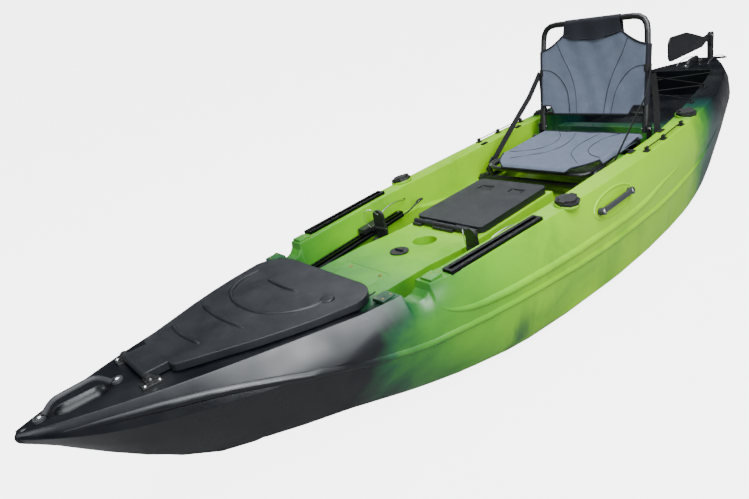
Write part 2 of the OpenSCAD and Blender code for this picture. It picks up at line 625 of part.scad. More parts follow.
// ---- Seat ---------------------------------------------------------------------------------------
base_front = 2040;
base_rear = 2450;
base_x = 286;
function bar_end(s) = inner_half(s) - wall_lean - 8;
tube_r = tube_d / 2;
bar_z = ledge_h + tube_r + 1;
pan_x = seat_w / 2 - 12;
pan_r = tube_r - 3;
leg_r = 9;
leg_rear = 2376;
leg_x = pan_x + pan_r + leg_r + gap;
pan_front = 2002;
pan_rear = 2436;
pan_rise = 20;
ear_t = 6;
pivot_z = pan_h + 46;
function pan_point(s, x, dz = 0) =
  pt(s, x, pan_h + dz + pan_rise * (s - pan_front) / (pan_rear - pan_front));
module seat_base() {
  color("#141517") {
    for (s = [base_front, base_rear]) put(s, 0, bar_z) rod_x(2 * bar_end(s), tube_r);
    pair() {
      put((base_front + base_rear) / 2, base_x, bar_z) rod_y(at(base_rear) - at(base_front), tube_r - 2);
      for (s = [base_front, base_rear]) put(s, bar_end(s) - 11, 0) translate([0, 0, ledge_h + 0.2]) slab(24, 38, 15);
      // the loops that carry the pan
      tube(bend([pt(base_front + 4, leg_x, bar_z), pan_point(base_front - 18, leg_x),
                 pan_point(base_front + 70, leg_x), pt(base_front + 120, leg_x, bar_z),
                 pt(base_front + 126, base_x - 6, bar_z)], 40), leg_r, 12);
      put(leg_rear, leg_x, bar_z) cylinder(h = pan_point(leg_rear, 0)[2] + leg_r - bar_z, r = leg_r);
      put(leg_rear, (leg_x + base_x) / 2, bar_z) rod_x(base_x - leg_x, leg_r);
      // the ears that carry the back's pivots
      put(base_rear, seat_w / 2 + tube_r + 1, bar_z) difference() {
        translate([0, -18, -4]) cube([ear_t, 36, pivot_z - bar_z + 22]);
        translate([ear_t / 2, 0, pivot_z - bar_z]) rod_x(ear_t + 6, pivot_d / 2 + 0.05);
      }
    }
  }
}
module seat_pan_frame() {
  color("#141517") tube(loop([pan_point(pan_front, -pan_x), pan_point(pan_front, pan_x),
    pan_point(pan_rear, pan_x), pan_point(pan_rear, -pan_x)], 50), pan_r, 12, true);
}
module seat_pan_mesh() {
  low = pan_r + 0.9;
  top = low + 4.6;
  color("#7f8590") skin([for (k = [0 : 10]) let (s = pan_front + 10 + (pan_rear - 26 - pan_front) * k / 10,
      w = pan_x - 11, sag = -1 - 5 * sin(k * 18))
    [for (j = [[-1, low], [-0.5, low + sag], [0, low + sag * 1.5], [0.5, low + sag], [1, low],
               [1, top], [0.5, top + sag], [0, top + sag * 1.5], [-0.5, top + sag], [-1, top]])
      pan_point(s, j[0] * w, j[1])]]);
}
module back_frame() { put(base_rear, 0, pivot_z) rotate([-back_lean, 0, 0]) children(); }
module seat_pivot_bolts() {
  color("silver") pair() put(base_rear, seat_w / 2, pivot_z) {
    translate([4, 0, 0]) rod_x(2 * tube_r + 16, pivot_d / 2);
    translate([tube_r + 1 + ear_t + 0.3 + 3, 0, 0]) rod_x(6, 8);
  }
}
module seat_back_frame() {
  color("#141517") back_frame() {
    pair() translate([seat_w / 2, 0, 0]) difference() {
      translate([0, 0, -16]) cylinder(h = 60, r = tube_r);
      rod_x(60, pivot_d / 2 + 0.05);
    }
    tube(bend([[seat_w / 2, 0, 40], [seat_w / 2, 0, back_h * 0.6], [seat_w / 2 - 8, 0, back_h],
               [8 - seat_w / 2, 0, back_h], [-seat_w / 2, 0, back_h * 0.6], [-seat_w / 2, 0, 40]], 60), tube_r, 12);
    translate([0, 0, 62]) rod_x(seat_w - 2, tube_r - 4);
  }
}
// The cloth touches the front of the side tubes this far in from their middle lines
cloth_in = 4;
cloth_t = 4;
cloth_front = 16;
module seat_back_mesh() {
  edge = -sqrt(tube_r * tube_r - cloth_in * cloth_in) - gap;
  color("#7f8590") back_frame() skin([for (k = [0 : 10]) let (z = 34 + (back_h - 132) * k / 10,
      w = seat_w / 2 - cloth_in, sag = 1.5 + 12 * sin(k * 18), back = -cloth_front, front = back - cloth_t - 0.5)
    [for (j = [[-1, edge], [-0.9, back], [0, back + sag], [0.9, back], [1, edge],
               [1, edge - cloth_t], [0.9, front], [0, front + sag], [-0.9, front], [-1, edge - cloth_t]])
      [j[0] * w, j[1], z]]]);
}
module seat_back_band() {
  color("#1c2233") back_frame() difference() {
    hull() pair() for (z = [back_h - 82, back_h - 14]) translate([seat_w / 2 - 52, 0, z]) rod_x(50, 18);
    hull() pair() for (z = [back_h - 90, back_h]) translate([seat_w / 2 - 50, 0, z]) rod_x(60, tube_r + gap);
  }
}
strap_w = 25;
strap_x = seat_w / 2 + (tube_d + strap_w) / 2 + gap;
module strap(side) {
  color("black") scale_x(side) tube(bend([pt(base_rear + 40, strap_x, pivot_z + 250),
    pt(base_rear - 130, strap_x + 6, pivot_z + 100), pt(base_front + 2, strap_x + 12, bar_z + tube_r + 9)], 30),
    strap_w / 2, 8, false, 0.12);
}
module seat_strap_port() { strap(1); }
module seat_strap_starboard() { strap(-1); }
module seat_buckles() {
  color("black") pair() put(base_front, strap_x + 12, bar_z + tube_r + 0.2) slab(30, 22, 7);
}
module seat_hold_downs() {
  color("#101113") pair() for (s = [2130, 2380]) put(s, inner_half(s) + 11, deck_at(s) + 1.2) {
    slab(16, 34, 5);
    translate([-2, 0, 4]) rod_y(12, 5);
  }
}

// ---- Deck fittings ------------------------------------------------------------------------------
keeper_s = [2150, 2290, 2460];
function keeper_x(s) = deck_half(s) - 16;
module paddle_keepers() {
  color("#111111") pair() tube([for (s = [keeper_s[0] : 31 : keeper_s[2]])
    pt(s, keeper_x(s), deck_at(s) + 13)], bungee_d / 2, 8);
}
module keeper_hooks() {
  color("#1a1b1d") pair() for (s = keeper_s) put(s, keeper_x(s), deck_at(s)) difference() {
    translate([0, 0, 0.2]) {
      slab(20, 24, 5);
      translate([0, 0, 13]) rod_y(12, 7);
      slab(10, 12, 12);
    }
    translate([0, 0, 13.2]) rod_y(30, bungee_d / 2 + gap);
  }
}
tank_s = [2770, 3010, 3240];
function tank_x(s) = inner_half(s) + 20;
eye_r = 5;
eye_h = 20;
function tank_pt(k, side) = pt(tank_s[k], side * (tank_x(tank_s[k]) - eye_r - 0.5), deck_at(tank_s[k]) + 13);
module tank_bungee() {
  color("#111111") for (k = [0, 1], side = [-1, 1]) translate([0, 0, side * (bungee_d / 2 + gap / 2)])
    tube([tank_pt(k, side), (tank_pt(k, side) + tank_pt(k + 1, -side)) / 2, tank_pt(k + 1, -side)], bungee_d / 2, 8);
}
module tank_bungee_eyes() {
  color("#1a1b1d") pair() for (s = tank_s) put(s, tank_x(s), deck_at(s) + 0.2) {
    slab(22, 26, 4);
    cylinder(h = eye_h, r = eye_r);
  }
}
stern_bolts = [3400, 3560];
module stern_handle() {
  color("dimgray") {
    for (s = stern_bolts) put(s, 0, deck_at(s)) difference() {
      translate([0, 0, 0.7]) cylinder(h = pad_t, r = 15);
      cylinder(h = pad_t + 1, r = 4);
    }
    z = deck_at(3400);
    tube(bend([pt(stern_bolts[0] + 14, 0, z + 11), pt(stern_bolts[0] + 32, 0, z + 30),
               pt(stern_bolts[1] - 32, 0, z + 30), pt(stern_bolts[1] - 14, 0, z + 9)], 24), 8, 12);
  }
}
module stern_handle_bolts() {
  color("silver") for (s = stern_bolts) put(s, 0, deck_at(s) + pad_t + 1) dome_bolt(20, 3.9, 8);
}

// ---- Rudder -------------------------------------------------------------------------------------
lug_low = 312;
lug_high = 396;
lug_t = 8;
plate_w = 64;
bolt_x = 24;
bolt_zs = [lug_low + 22, lug_high - 16];
arm_z = lug_high + lug_t + gap;
pivot_up = 530;
cheek_t = 6;
head_top = pivot_up - 50;
module post_frame() { translate([0, hull_len + rudder_back - y0, 0]) children(); }
module rudder_bracket() {
  color("#303236") difference() {
    union() {
      translate([-plate_w / 2, hull_len - y0 + 0.2, lug_low - 6]) cube([plate_w, 6, lug_high + lug_t - lug_low + 12]);
      post_frame() for (z = [lug_low, lug_high]) translate([0, 0, z]) {
        cylinder(h = lug_t, r = 17);
        translate([-17, -rudder_back + 0.2, 0]) cube([34, rudder_back, lug_t]);
      }
    }
    post_frame() cylinder(h = 500, r = post_d / 2 + 0.05);
    for (x = [-bolt_x, bolt_x], z = bolt_zs) translate([x, hull_len - y0 + 3, z]) rod_y(20, 3);
  }
}
module rudder_bolts() {
  color("silver") for (x = [-bolt_x, bolt_x], z = bolt_zs)
    translate([x, hull_len - y0 + 6.5, z]) rotate([-90, 0, 0]) dome_bolt(20, 2.9, 6);
}
module rudder_post() {
  color("silver") post_frame() {
    translate([0, 0, lug_low - 8]) cylinder(h = head_top - 6 - lug_low, r = post_d / 2);
    translate([0, 0, lug_low - 12]) cylinder(h = 5, r = 10);
  }
}
module rudder_head() {
  color("#1a1c1f") post_frame() difference() {
    union() {
      translate([0, 0, arm_z]) cylinder(h = head_top - arm_z, r = 16);
      translate([0, 0, arm_z]) round_slab(170, 26, 6, 12);
      for (x = [-1, 1]) translate([x * (blade_t / 2 + gap + cheek_t / 2), 0, pivot_up - 56]) hull() {
        slab(cheek_t, 34, 10);
        translate([0, 0, 56]) rod_x(cheek_t, 22);
      }
    }
    translate([0, 0, arm_z - 1]) cylinder(h = head_top - 5 - arm_z, r = post_d / 2 + 0.05);
    translate([0, 0, pivot_up]) rod_x(60, 4.05);
    for (x = [-74, 74]) translate([x, 0, arm_z - 1]) cylinder(h = 10, r = 3);
  }
}
module rudder_blade() {
  color("#131417") post_frame() translate([0, 0, pivot_up]) difference() {
    rotate([-2, 0, 0]) rotate([90, 0, -90]) translate([0, 0, -blade_t / 2]) linear_extrude(blade_t)
      polygon(concat(arc(0, 0, 19, 90, 270), [[60, -22], [110, -40]], arc(blade_len - 34, -8, 34, -90, 0),
        arc(blade_len - 40, 40, 40, 0, 90), [[300, 72], [200, 44], [90, 10], [40, 14]]));
    rod_x(20, 4.05);
  }
}
module blade_bolt() {
  color("silver") post_frame() translate([0, 0, pivot_up]) {
    rod_x(blade_t + 2 * cheek_t + 6, 4);
    for (x = [-1, 1]) translate([x * (blade_t / 2 + cheek_t + gap + 2.2), 0, 0]) rod_x(3.6, 8);
  }
}

kayak_hull();
brass_inserts();
bow_handle();
bow_handle_bolts();
hatch_brackets();
hatch_bracket_bolts();
hatch_pin();
hatch_lid();
gear_track_port();
gear_track_starboard();
track_screws();
rod_holders();
rod_cap_front_port();
rod_cap_front_starboard();
rod_cap_rear_port();
rod_cap_rear_starboard();
side_handles();
side_handle_bolts();
foot_rails();
rail_screws();
foot_slide_port();
foot_slide_starboard();
toe_pedal_port();
toe_pedal_starboard();
toe_pin_port();
toe_pin_starboard();
steering_cable_port();
steering_cable_starboard();
console_plug();
pod_lid();
pod_hinge();
pod_latch_port();
pod_latch_starboard();
seat_base();
seat_pan_frame();
seat_pan_mesh();
seat_pivot_bolts();
seat_back_frame();
seat_back_mesh();
seat_back_band();
seat_strap_port();
seat_strap_starboard();
seat_buckles();
seat_hold_downs();
paddle_keepers();
keeper_hooks();
tank_bungee();
tank_bungee_eyes();
stern_handle();
stern_handle_bolts();
rudder_bracket();
rudder_bolts();
rudder_post();
rudder_head();
rudder_blade();
blade_bolt();
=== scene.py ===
"""Looks of the sit-on-top fishing kayak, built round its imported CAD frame. All sizes are in metres."""

import math

import bpy
from mathutils import Matrix, Vector


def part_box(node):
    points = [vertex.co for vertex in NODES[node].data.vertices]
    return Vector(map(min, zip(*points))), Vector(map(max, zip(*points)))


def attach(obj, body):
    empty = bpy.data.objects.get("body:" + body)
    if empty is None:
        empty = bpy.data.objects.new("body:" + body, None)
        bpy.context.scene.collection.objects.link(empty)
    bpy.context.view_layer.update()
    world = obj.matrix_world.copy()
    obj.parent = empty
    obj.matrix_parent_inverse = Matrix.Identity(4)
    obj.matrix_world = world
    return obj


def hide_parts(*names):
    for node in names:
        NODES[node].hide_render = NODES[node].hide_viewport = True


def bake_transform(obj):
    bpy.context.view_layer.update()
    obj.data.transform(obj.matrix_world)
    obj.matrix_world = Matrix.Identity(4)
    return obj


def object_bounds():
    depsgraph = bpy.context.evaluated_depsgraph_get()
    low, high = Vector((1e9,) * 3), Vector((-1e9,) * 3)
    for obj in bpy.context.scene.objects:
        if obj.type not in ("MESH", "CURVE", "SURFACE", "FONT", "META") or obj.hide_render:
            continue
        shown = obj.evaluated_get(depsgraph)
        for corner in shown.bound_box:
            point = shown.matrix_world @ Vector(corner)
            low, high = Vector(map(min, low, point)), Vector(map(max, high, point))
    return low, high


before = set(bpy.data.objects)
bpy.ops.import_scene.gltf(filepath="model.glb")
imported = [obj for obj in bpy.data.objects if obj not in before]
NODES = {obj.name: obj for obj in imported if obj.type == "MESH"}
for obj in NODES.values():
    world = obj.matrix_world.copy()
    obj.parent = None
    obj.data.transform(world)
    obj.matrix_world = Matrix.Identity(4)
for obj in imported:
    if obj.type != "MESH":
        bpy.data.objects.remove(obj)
cad_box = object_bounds()
bpy.ops.object.select_all(action="DESELECT")
SIDES = {"port": 1, "starboard": -1}

# ---------------------------------------------------------------- helpers


def only(obj):
    """Makes obj the one that is selected and active."""
    bpy.ops.object.select_all(action="DESELECT")
    obj.select_set(True)
    bpy.context.view_layer.objects.active = obj
    return obj


def apply_modifiers(obj):
    only(obj)
    for modifier in list(obj.modifiers):
        bpy.ops.object.modifier_apply(modifier=modifier.name)
    return obj


def settle(obj):
    """Puts an object's place into its mesh, so that the object itself sits at the origin."""
    only(obj)
    bpy.ops.object.transform_apply(location=True, rotation=True, scale=True)
    return obj


def bevel(obj, width, segments=3, angle=35):
    modifier = obj.modifiers.new("edges", "BEVEL")
    modifier.width = width
    modifier.segments = segments
    modifier.limit_method = "ANGLE"
    modifier.angle_limit = math.radians(angle)
    return apply_modifiers(obj)


def smooth(obj, angle=40):
    only(obj)
    bpy.ops.object.shade_smooth_by_angle(angle=math.radians(angle))
    return obj


def dress(obj, name, finish, body="root", stands_for=()):
    """Names a finished piece, gives it its finish and makes it ride on a body."""
    obj.name = obj.data.name = name
    obj.data.materials.clear()
    obj.data.materials.append(FINISHES[finish])
    if stands_for:
        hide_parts(*stands_for)
    if body:
        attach(obj, body)
    return obj


def cad_copy(node):
    """A new piece that starts as a node's own mesh, with its loose triangles joined."""
    obj = bpy.data.objects.new(node, NODES[node].data.copy())
    bpy.context.scene.collection.objects.link(obj)
    only(obj)
    bpy.ops.object.mode_set(mode="EDIT")
    bpy.ops.mesh.select_all(action="SELECT")
    bpy.ops.mesh.remove_doubles(threshold=1e-5)
    bpy.ops.object.mode_set(mode="OBJECT")
    bpy.ops.mesh.customdata_custom_splitnormals_clear()
    return obj


def join(parts):
    only(parts[0])
    for part in parts[1:]:
        part.select_set(True)
    if len(parts) > 1:
        bpy.ops.object.join()
    return parts[0]


def tube(points, radius, sides=12, cyclic=False, flat=1.0, smooth_line=True):
    """A round tube along a line through the points; its flat argument is not used."""
    curve = bpy.data.curves.new("line", "CURVE")
    curve.dimensions = "3D"
    curve.bevel_depth = radius
    curve.bevel_resolution = max(1, sides // 4 - 1)
    curve.use_fill_caps = not cyclic
    curve.resolution_u = 8
    spline = curve.splines.new("BEZIER" if smooth_line else "POLY")
    rows = spline.bezier_points if smooth_line else spline.points
    rows.add(len(points) - 1)
    for row, point in zip(rows, points):
        if smooth_line:
            row.co = point
            row.handle_left_type = row.handle_right_type = "AUTO"
        else:
            row.co = (*point, 1)
    spline.use_cyclic_u = cyclic
    obj = bpy.data.objects.new("line", curve)
    bpy.context.scene.collection.objects.link(obj)
    only(obj)
    bpy.ops.object.convert(target="MESH")
    return smooth(bpy.context.object, 50)


def local(origin, right, up):
    """The matrix of a small frame: its X is right and its Z is up, as near as can be."""
    z = Vector(up).normalized()
    x = (Vector(right) - z * Vector(right).dot(z)).normalized()
    matrix = Matrix((x, z.cross(x), z)).transposed().to_4x4()
    matrix.translation = Vector(origin)
    return matrix


def disc(matrix, radius, height, sides=32, foot=0.0):
    """A short cylinder that stands on a small frame's floor."""
    bpy.ops.mesh.primitive_cylinder_add(vertices=sides, radius=radius, depth=height)
    obj = bpy.context.object
    obj.matrix_world = matrix @ Matrix.Translation((0, 0, foot + height / 2))
    return settle(obj)


def block(matrix, size, centre=(0, 0, 0)):
    bpy.ops.mesh.primitive_cube_add(size=1)
    obj = bpy.context.object
    obj.matrix_world = matrix @ Matrix.Translation(centre) @ Matrix.Diagonal((*size, 1))
    return settle(obj)


# ---------------------------------------------------------------- shared patterns


def group(name, inputs, outputs):
    """A new node group: its own nodes, its input node and its output node."""
    tree = bpy.data.node_groups.new(name, "ShaderNodeTree")
    for label, value in inputs:
        socket = tree.interface.new_socket(label, in_out="INPUT", socket_type="NodeSocketFloat")
        socket.default_value = value
    for label in outputs:
        tree.interface.new_socket(label, in_out="OUTPUT", socket_type="NodeSocketFloat")
    return tree, tree.nodes.new("NodeGroupInput"), tree.nodes.new("NodeGroupOutput")


def wire(tree, start, end):
    """Joins an output to an input. Each is a (node, socket) pair."""
    tree.links.new(start[0].outputs[start[1]], end[0].inputs[end[1]])


def place(tree, kind, **values):
    node = tree.nodes.new("ShaderNode" + kind)
    for key, value in values.items():
        if key in node.inputs:
            node.inputs[key].default_value = value
        elif key.replace("_", " ") in node.inputs:
            node.inputs[key.replace("_", " ")].default_value = value
        else:
            setattr(node, key, value)
    return node


def fit(tree, source, low, high, to_low=0.0, to_high=1.0):
    """Stretches a value's span to another span, and holds it there."""
    node = place(tree, "MapRange", interpolation_type="SMOOTHSTEP")
    for socket, value in ((1, low), (2, high), (3, to_low), (4, to_high)):
        node.inputs[socket].default_value = value
    wire(tree, source, (node, 0))
    return node


def make_grain():
    """Fine pebbled skin of moulded plastic, with a slower waviness under it."""
    tree, start, end = group("Moulded grain", [("Scale", 900.0), ("Waves", 14.0)], ["Height", "Mottle"])
    where = place(tree, "TexCoord")
    fine = place(tree, "TexNoise", Detail=4.0, Roughness=0.6)
    slow = place(tree, "TexNoise", Detail=2.0, Roughness=0.5)
    both = place(tree, "Math", operation="MULTIPLY_ADD")
    both.inputs[1].default_value = 0.35
    for node, label in ((fine, "Scale"), (slow, "Waves")):
        wire(tree, (where, "Object"), (node, "Vector"))
        wire(tree, (start, label), (node, "Scale"))
    wire(tree, (fine, "Fac"), (both, 0))
    wire(tree, (slow, "Fac"), (both, 2))
    wire(tree, (both, 0), (end, "Height"))
    wire(tree, (slow, "Fac"), (end, "Mottle"))
    return tree


def make_edge_wear():
    """Bright where a corner is sharp and rubbed, broken up by noise."""
    tree, start, end = group("Edge wear", [("Sharpness", 0.56), ("Scale", 120.0)], ["Mask"])
    shape = place(tree, "NewGeometry")
    where = place(tree, "TexCoord")
    noise = place(tree, "TexNoise", Detail=5.0, Roughness=0.7)
    above = place(tree, "Math", operation="SUBTRACT")
    sharp = place(tree, "Math", operation="MULTIPLY", use_clamp=True)
    sharp.inputs[1].default_value = 9.0
    broken = place(tree, "Math", operation="MULTIPLY")
    wire(tree, (where, "Object"), (noise, "Vector"))
    wire(tree, (start, "Scale"), (noise, "Scale"))
    wire(tree, (shape, "Pointiness"), (above, 0))
    wire(tree, (start, "Sharpness"), (above, 1))
    wire(tree, (above, 0), (sharp, 0))
    wire(tree, (sharp, 0), (broken, 0))
    wire(tree, (noise, "Fac"), (broken, 1))
    wire(tree, (broken, 0), (end, "Mask"))
    return tree


def make_dust():
    """Thin dust and water marks that lie where a surface faces up."""
    tree, start, end = group("Dust", [("Scale", 9.0), ("Amount", 0.25)], ["Mask"])
    shape = place(tree, "NewGeometry")
    parts = place(tree, "SeparateXYZ")
    where = place(tree, "TexCoord")
    noise = place(tree, "TexNoise", Detail=8.0, Roughness=0.65)
    patchy = fit(tree, (noise, "Fac"), 0.42, 0.7)
    up = place(tree, "Math", operation="MULTIPLY", use_clamp=True)
    amount = place(tree, "Math", operation="MULTIPLY")
    wire(tree, (where, "Object"), (noise, "Vector"))
    wire(tree, (start, "Scale"), (noise, "Scale"))
    wire(tree, (shape, "Normal"), (parts, 0))
    wire(tree, (parts, "Z"), (up, 0))
    wire(tree, (patchy, 0), (up, 1))
    wire(tree, (up, 0), (amount, 0))
    wire(tree, (start, "Amount"), (amount, 1))
    wire(tree, (amount, 0), (end, "Mask"))
    return tree


def make_weave():
    """Threads that cross over and under, along the two directions of a piece's own UV map."""
    tree, start, end = group("Weave", [("Across", 160.0), ("Along", 160.0)], ["Height", "Hole"])
    where = place(tree, "UVMap")
    parts = place(tree, "SeparateXYZ")
    wire(tree, (where, "UV"), (parts, 0))
    waves = []
    for axis, label in (("X", "Across"), ("Y", "Along")):
        turns = place(tree, "Math", operation="MULTIPLY")
        wave = place(tree, "Math", operation="SINE")
        lift = place(tree, "Math", operation="ABSOLUTE")
        wire(tree, (parts, axis), (turns, 0))
        wire(tree, (start, label), (turns, 1))
        wire(tree, (turns, 0), (wave, 0))
        wire(tree, (wave, 0), (lift, 0))
        waves.append(lift)
    height = place(tree, "Math", operation="MAXIMUM")
    hole = place(tree, "Math", operation="MULTIPLY")
    for slot_number, wave in enumerate(waves):
        wire(tree, (wave, 0), (height, slot_number))
    less = [place(tree, "Math", operation="SUBTRACT") for _ in waves]
    for node, wave, slot_number in zip(less, waves, (0, 1)):
        node.inputs[0].default_value = 1.0
        wire(tree, (wave, 0), (node, 1))
        wire(tree, (node, 0), (hole, slot_number))
    wire(tree, (height, 0), (end, "Height"))
    wire(tree, (hole, 0), (end, "Hole"))
    return tree


GRAIN = make_grain()
EDGE_WEAR = make_edge_wear()
DUST = make_dust()
WEAVE = make_weave()


# ---------------------------------------------------------------- finishes


def finish(name, rough, metallic=0.0, **sockets):
    """A new material and its main shader, with plain values set on the shader's own sockets."""
    material = bpy.data.materials.new(name)
    material.use_nodes = True
    tree = material.node_tree
    shader = tree.nodes["Principled BSDF"]
    shader.inputs["Roughness"].default_value = rough
    shader.inputs["Metallic"].default_value = metallic
    for key, value in sockets.items():
        shader.inputs[key.replace("_", " ")].default_value = value
    return material, tree, shader


def use(tree, pattern, **values):
    node = tree.nodes.new("ShaderNodeGroup")
    node.node_tree = pattern
    for key, value in values.items():
        node.inputs[key].default_value = value
    return node


def mix(tree, share, first, second):
    """Blends two colours. Each is a colour or a (node, socket) pair."""
    node = place(tree, "Mix", data_type="RGBA")
    wire(tree, share, (node, 0))
    for slot_number, colour in ((6, first), (7, second)):
        if isinstance(colour[0], float):
            node.inputs[slot_number].default_value = (*colour, 1)
        else:
            wire(tree, colour, (node, slot_number))
    return node, 2


def bump(tree, shader, height, distance, strength=1.0, rounding=0.0):
    node = place(tree, "Bump", Strength=strength, Distance=distance)
    wire(tree, height, (node, "Height"))
    if rounding:
        round_edge = place(tree, "Bevel", samples=6, Radius=rounding)
        wire(tree, (round_edge, 0), (node, "Normal"))
    wire(tree, (node, 0), (shader, "Normal"))


def moulded(name, dark, light, rough, grain=900.0, depth=0.0002, rounding=0.0015, wear=0.5, **sockets):
    """Moulded plastic or rubber: mottled colour, pebbled skin, paler rubbed corners and a little dust."""
    material, tree, shader = finish(name, rough, Specular_IOR_Level=0.32, **sockets)
    skin = use(tree, GRAIN, Scale=grain, Waves=11.0)
    worn = use(tree, EDGE_WEAR, Sharpness=0.55)
    dust = use(tree, DUST, Amount=0.03)
    base = mix(tree, (skin, "Mottle"), dark, light)
    rubbed = mix(tree, (worn, "Mask"), base, tuple(c * (1 + wear) + 0.006 for c in light))
    dusty = mix(tree, (dust, "Mask"), rubbed, (0.13, 0.13, 0.125))
    wire(tree, dusty, (shader, "Base Color"))
    rougher = fit(tree, (skin, "Mottle"), 0.3, 0.7, rough - 0.05, rough + 0.08)
    wire(tree, (rougher, 0), (shader, "Roughness"))
    bump(tree, shader, (skin, "Height"), depth, rounding=rounding)
    return material


def metal(name, colour, rough, brushed=60.0, rounding=0.0008, **sockets):
    """Bare or anodised metal with fine scratches and faint smudges."""
    material, tree, shader = finish(name, rough, 1.0, **sockets)
    where = place(tree, "TexCoord")
    stretch = place(tree, "Mapping")
    stretch.inputs["Scale"].default_value = (brushed * 12, brushed, brushed * 12)
    scratch = place(tree, "TexNoise", Scale=1.0, Detail=6.0, Roughness=0.7)
    smudge = place(tree, "TexNoise", Scale=35.0, Detail=3.0)
    wire(tree, (where, "Object"), (stretch, "Vector"))
    wire(tree, (stretch, 0), (scratch, "Vector"))
    wire(tree, (where, "Object"), (smudge, "Vector"))
    tone = mix(tree, (smudge, "Fac"), tuple(c * 0.8 for c in colour), colour)
    wire(tree, tone, (shader, "Base Color"))
    rougher = fit(tree, (scratch, "Fac"), 0.3, 0.75, rough - 0.08, rough + 0.14)
    wire(tree, (rougher, 0), (shader, "Roughness"))
    bump(tree, shader, (scratch, "Fac"), 0.00008, 0.6, rounding)
    return material


def cloth(name, dark, light, across, along, depth, rough=0.8, holes=False, **sockets):
    """Woven fabric or webbing, with its threads along the piece's own UV map in metres."""
    material, tree, shader = finish(name, rough, Specular_IOR_Level=0.25, **sockets)
    threads = use(tree, WEAVE, Across=across, Along=along)
    where = place(tree, "TexCoord")
    patchy = place(tree, "TexNoise", Scale=26.0, Detail=5.0)
    wire(tree, (where, "Object"), (patchy, "Vector"))
    base = mix(tree, (patchy, "Fac"), dark, light)
    # painted shade: the colour darkens in the gaps between the threads, where the weave is recessed
    painted_gap_shade = mix(tree, (threads, "Hole"), base, tuple(c * 0.25 for c in dark))
    wire(tree, painted_gap_shade, (shader, "Base Color"))
    if holes:
        open_part = fit(tree, (threads, "Hole"), 0.50, 0.62, 1.0, 0.0)
        wire(tree, (open_part, 0), (shader, "Alpha"))
    bump(tree, shader, (threads, "Height"), depth)
    return material


LIME = (0.155, 0.340, 0.0)
GRASS = (0.085, 0.270, 0.004)
LEAF = (0.032, 0.150, 0.010)
PINE = (0.004, 0.045, 0.014)
TEAL = (0.002, 0.024, 0.020)
INK = (0.0006, 0.0010, 0.0021)


def hull_plastic():
    """Polyethylene colours that ran into each other in the mould: ink bow, lime middle, ink stern."""
    material, tree, shader = finish("hull_plastic", 0.27, Specular_IOR_Level=0.36)
    where = place(tree, "TexCoord")
    parts = place(tree, "SeparateXYZ")
    wire(tree, (where, "Object"), (parts, 0))
    swirl = place(tree, "TexNoise", Scale=2.6, Detail=7.0, Roughness=0.58, Distortion=0.9)
    wire(tree, (where, "Object"), (swirl, "Vector"))
    shifted = place(tree, "Math", operation="MULTIPLY_ADD")
    shifted.inputs[1].default_value = 0.46
    wire(tree, (swirl, "Fac"), (shifted, 0))
    wire(tree, (parts, "Y"), (shifted, 2))
    run = place(tree, "MapRange")
    for number, value in ((1, -1.645), (2, 2.080)):
        run.inputs[number].default_value = value
    wire(tree, (shifted, 0), (run, 0))
    ramp = place(tree, "ValToRGB")
    stops = (
        (0.218, INK), (0.243, PINE), (0.278, LEAF), (0.330, GRASS), (0.450, LIME),
        (0.655, LIME), (0.690, LEAF), (0.712, PINE), (0.735, TEAL), (0.775, INK),
    )
    elements = ramp.color_ramp.elements
    while len(elements) < len(stops):
        elements.new(0.5)
    for element, (position, colour) in zip(elements, stops):
        element.position = position
        element.color = (*colour, 1)
    wire(tree, (run, 0), (ramp, 0))
    # darker clouds inside the lime, and darker streaks towards the bottom of the sides, below the chine
    cloud = place(tree, "TexNoise", Scale=3.4, Detail=6.0, Roughness=0.62, Distortion=0.6)
    wire(tree, (where, "Object"), (cloud, "Vector"))
    cloudy = fit(tree, (cloud, "Fac"), 0.50, 0.74, 0.0, 0.55)
    lime_from = fit(tree, (run, 0), 0.29, 0.36)
    lime_to = fit(tree, (run, 0), 0.70, 0.64)
    inside = place(tree, "Math", operation="MULTIPLY")
    wire(tree, (lime_from, 0), (inside, 0))
    wire(tree, (lime_to, 0), (inside, 1))
    in_lime = place(tree, "Math", operation="MULTIPLY")
    wire(tree, (inside, 0), (in_lime, 0))
    wire(tree, (cloudy, 0), (in_lime, 1))
    tinted = mix(tree, (in_lime, 0), (ramp, 0), LEAF)
    squeeze = place(tree, "Mapping")
    squeeze.inputs["Scale"].default_value = (1.0, 7.0, 1.1)
    streak_noise = place(tree, "TexNoise", Scale=1.0, Detail=5.0, Roughness=0.6)
    wire(tree, (where, "Object"), (squeeze, "Vector"))
    wire(tree, (squeeze, 0), (streak_noise, "Vector"))
    streak = fit(tree, (streak_noise, "Fac"), 0.56, 0.70)
    low = fit(tree, (parts, "Z"), 0.24, 0.04)
    low_streak = place(tree, "Math", operation="MULTIPLY")
    wire(tree, (streak, 0), (low_streak, 0))
    wire(tree, (low, 0), (low_streak, 1))
    low_darkened = mix(tree, (low_streak, 0), tinted, PINE)
    worn = use(tree, EDGE_WEAR, Sharpness=0.68, Scale=60.0)
    rubbed = mix(tree, (worn, "Mask"), low_darkened, (0.20, 0.28, 0.09))
    dust = use(tree, DUST, Scale=6.0, Amount=0.025)
    dusty = mix(tree, (dust, "Mask"), rubbed, (0.16, 0.16, 0.15))
    wire(tree, dusty, (shader, "Base Color"))
    skin = use(tree, GRAIN, Scale=520.0, Waves=7.0)
    rougher = fit(tree, (skin, "Mottle"), 0.3, 0.7, 0.27, 0.42)
    wire(tree, (rougher, 0), (shader, "Roughness"))
    bump(tree, shader, (skin, "Height"), 0.0006, 0.55, 0.004)
    return material


def seat_mesh_fabric():
    dark, light = (0.056, 0.068, 0.096), (0.090, 0.106, 0.146)
    return cloth("seat_mesh", dark, light, 1400.0, 1400.0, 0.0005, 0.75, True)


